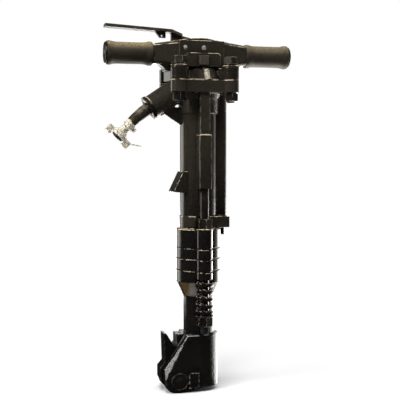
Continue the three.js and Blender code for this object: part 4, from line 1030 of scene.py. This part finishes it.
# The air inlet has its own frame: +Z runs out along the stub and +X points up and to the left
INLET_TURN = math.radians(-90 - 32)
PIPE_BEND = math.radians(13)
PIPE_BEND_RADIUS = 215
PIPE_REACH = PIPE_BEND_RADIUS * math.tan(PIPE_BEND / 2)
PIPE_START_RADIUS = 12.9
PIPE_END_RADIUS = 10.2
PIPE_STEPS = 40
INLET_FRAME = Matrix.Translation((-93.0, 0, 543.0)) @ Matrix.Rotation(INLET_TURN, 4, "Y")
PIPE_CORNER = Vector((0, 0, PIPE_REACH))
PIPE_END = PIPE_CORNER + Vector((-math.sin(PIPE_BEND), 0, math.cos(PIPE_BEND))) * PIPE_REACH
COUPLING_FRAME = INLET_FRAME @ Matrix.Translation(PIPE_END) @ Matrix.Rotation(-PIPE_BEND, 4, "Y")
INLET_BODY = BODY_OF["inlet_pipe"]


def in_frame(points, matrix):
    return [tuple((matrix @ Vector(p)) * MM) for p in points]


def ring_in(name, profile, matrix, material, body, node, edge, sides):
    """A turned ring along Z of a frame."""
    vertices, faces = lathe_mesh(softened(profile, edge, True), sides, True)
    return add_mesh(name, in_frame(vertices, matrix), faces, material, body, (node,), sharp=40)


def make_inlet():
    ring = [(13.2, 0.3), (23.4, 0.3), (23.8, 1.2), (23.8, 6.0), (23.2, 6.9), (17.0, 6.9), (15.6, 6.2),
            (13.2, 6.2)]
    ring_in("swivel_nut_ring", ring, INLET_FRAME, "smooth_black", INLET_BODY, "swivel_nut", 0.7, 96)
    path = []
    radii = []
    start = Vector((0, 0, -2.0))
    for step in range(PIPE_STEPS + 1):
        s = step / PIPE_STEPS
        path.append(start * (1 - s) ** 2 + PIPE_CORNER * 2 * s * (1 - s) + PIPE_END * s ** 2)
        radii.append(PIPE_START_RADIUS + (PIPE_END_RADIUS - PIPE_START_RADIUS) * s)
    collar = lathe_mesh(plain_profile(0, 15.0, -4.0, 0), 48)
    vertices, faces = merged(swept(path, radii, 48), collar)
    add_mesh("inlet_pipe_bend", in_frame(vertices, INLET_FRAME), faces, "black_paint", INLET_BODY,
             ("inlet_pipe",), sharp=50)


# Levels along the coupling, from the end of the pipe
COLLAR_LENGTH = 12
COUPLING_FACE = 0.3 + COLLAR_LENGTH + 9 + 15.5
SEAL_PROUD = 2.5
SEAL_THICKNESS = 6
HEAD_SAMPLES = 48


def make_coupling():
    casting("coupling_body", "coupling_casting", 0.45, 9, material="zinc_plate")
    top = COUPLING_FACE + SEAL_PROUD
    bottom = top - SEAL_THICKNESS
    profile = [(6.5, bottom), (12.0, bottom), (12.0, COUPLING_FACE - 0.2), (11.2, COUPLING_FACE + 0.5),
               (11.2, top - 0.5), (10.4, top), (8.2, top), (7.6, top - 1.2), (6.5, top - 1.4)]
    ring_in("coupling_seal_ring", profile, COUPLING_FRAME, "seal_rubber", INLET_BODY, "coupling_seal", 0.5,
            64)
    collar_side = Vector((-9.3, 0, 0.3 + COLLAR_LENGTH / 2))
    screw_frame = COUPLING_FRAME @ Matrix.Translation(collar_side) @ Matrix.Rotation(-math.pi / 2, 4, "Y")
    shank = lathe_mesh(plain_profile(0, 2.8, 0, 3.0), 24)
    rings = hex_rings(8.0, 3.0, 7.4, False, True, HEAD_SAMPLES)
    head = [v for ring in rings for v in ring]
    vertices, faces = merged(shank, (head, tube_faces(len(rings), HEAD_SAMPLES)))
    add_mesh("clamp_screw_head", in_frame(vertices, screw_frame), faces, "zinc_plate", INLET_BODY,
             ("clamp_screw",), sharp=30)


# The safety clip, from its hole in the upper claw
CLIP_WIRE = 1.6
CLIP_LENGTH = 24
CLIP_LIFT = math.radians(35)
CLAW_HALF_WIDTH = 8
CLIP_STEPS = 12


def make_clip():
    """A closed wire that leaves the claw on both sides and narrows to its tip."""
    half = CLAW_HALF_WIDTH + CLIP_WIRE
    hole = Vector((-27 + 7.5 / 2, 0, COUPLING_FACE - 15.5 / 4))
    matrix = COUPLING_FRAME @ Matrix.Translation(hole) @ Matrix.Rotation(-CLIP_LIFT, 4, "Y")
    points = [(0, CLAW_HALF_WIDTH - CLIP_WIRE, 0), (0, half, 0), (-7, half + CLIP_WIRE, 0),
              (-CLIP_LENGTH, 3.5, 0), (-CLIP_LENGTH, -3.5, 0), (-7, -half - CLIP_WIRE, 0), (0, -half, 0),
              (0, CLIP_WIRE - CLAW_HALF_WIDTH, 0)]
    points = [Vector(p) for p in points]
    points = [points[0] * 2 - points[1]] + points + [points[-1] * 2 - points[-2]]
    path = []
    for index in range(1, len(points) - 2):
        a, b, c, d = points[index - 1:index + 3]
        for step in range(CLIP_STEPS):
            s = step / CLIP_STEPS
            spot = 2 * b + (c - a) * s + (2 * a - 5 * b + 4 * c - d) * s ** 2
            path.append((spot + (3 * b - a - 3 * c + d) * s ** 3) / 2)
    path.append(points[-2])
    vertices, faces = swept(path, CLIP_WIRE / 2, 12)
    add_mesh("safety_clip_wire", in_frame(vertices, matrix), faces, "zinc_plate", BODY_OF["safety_clip"],
             ("safety_clip",), sharp=60)


# Assembly
paint_nodes()
make_castings()
make_side_rods()
make_small_springs()
make_backhead_bolts()
make_grips()
make_levers_and_latch()
make_plugs()
make_inlet()
make_coupling()
make_clip()

bpy.context.view_layer.update()
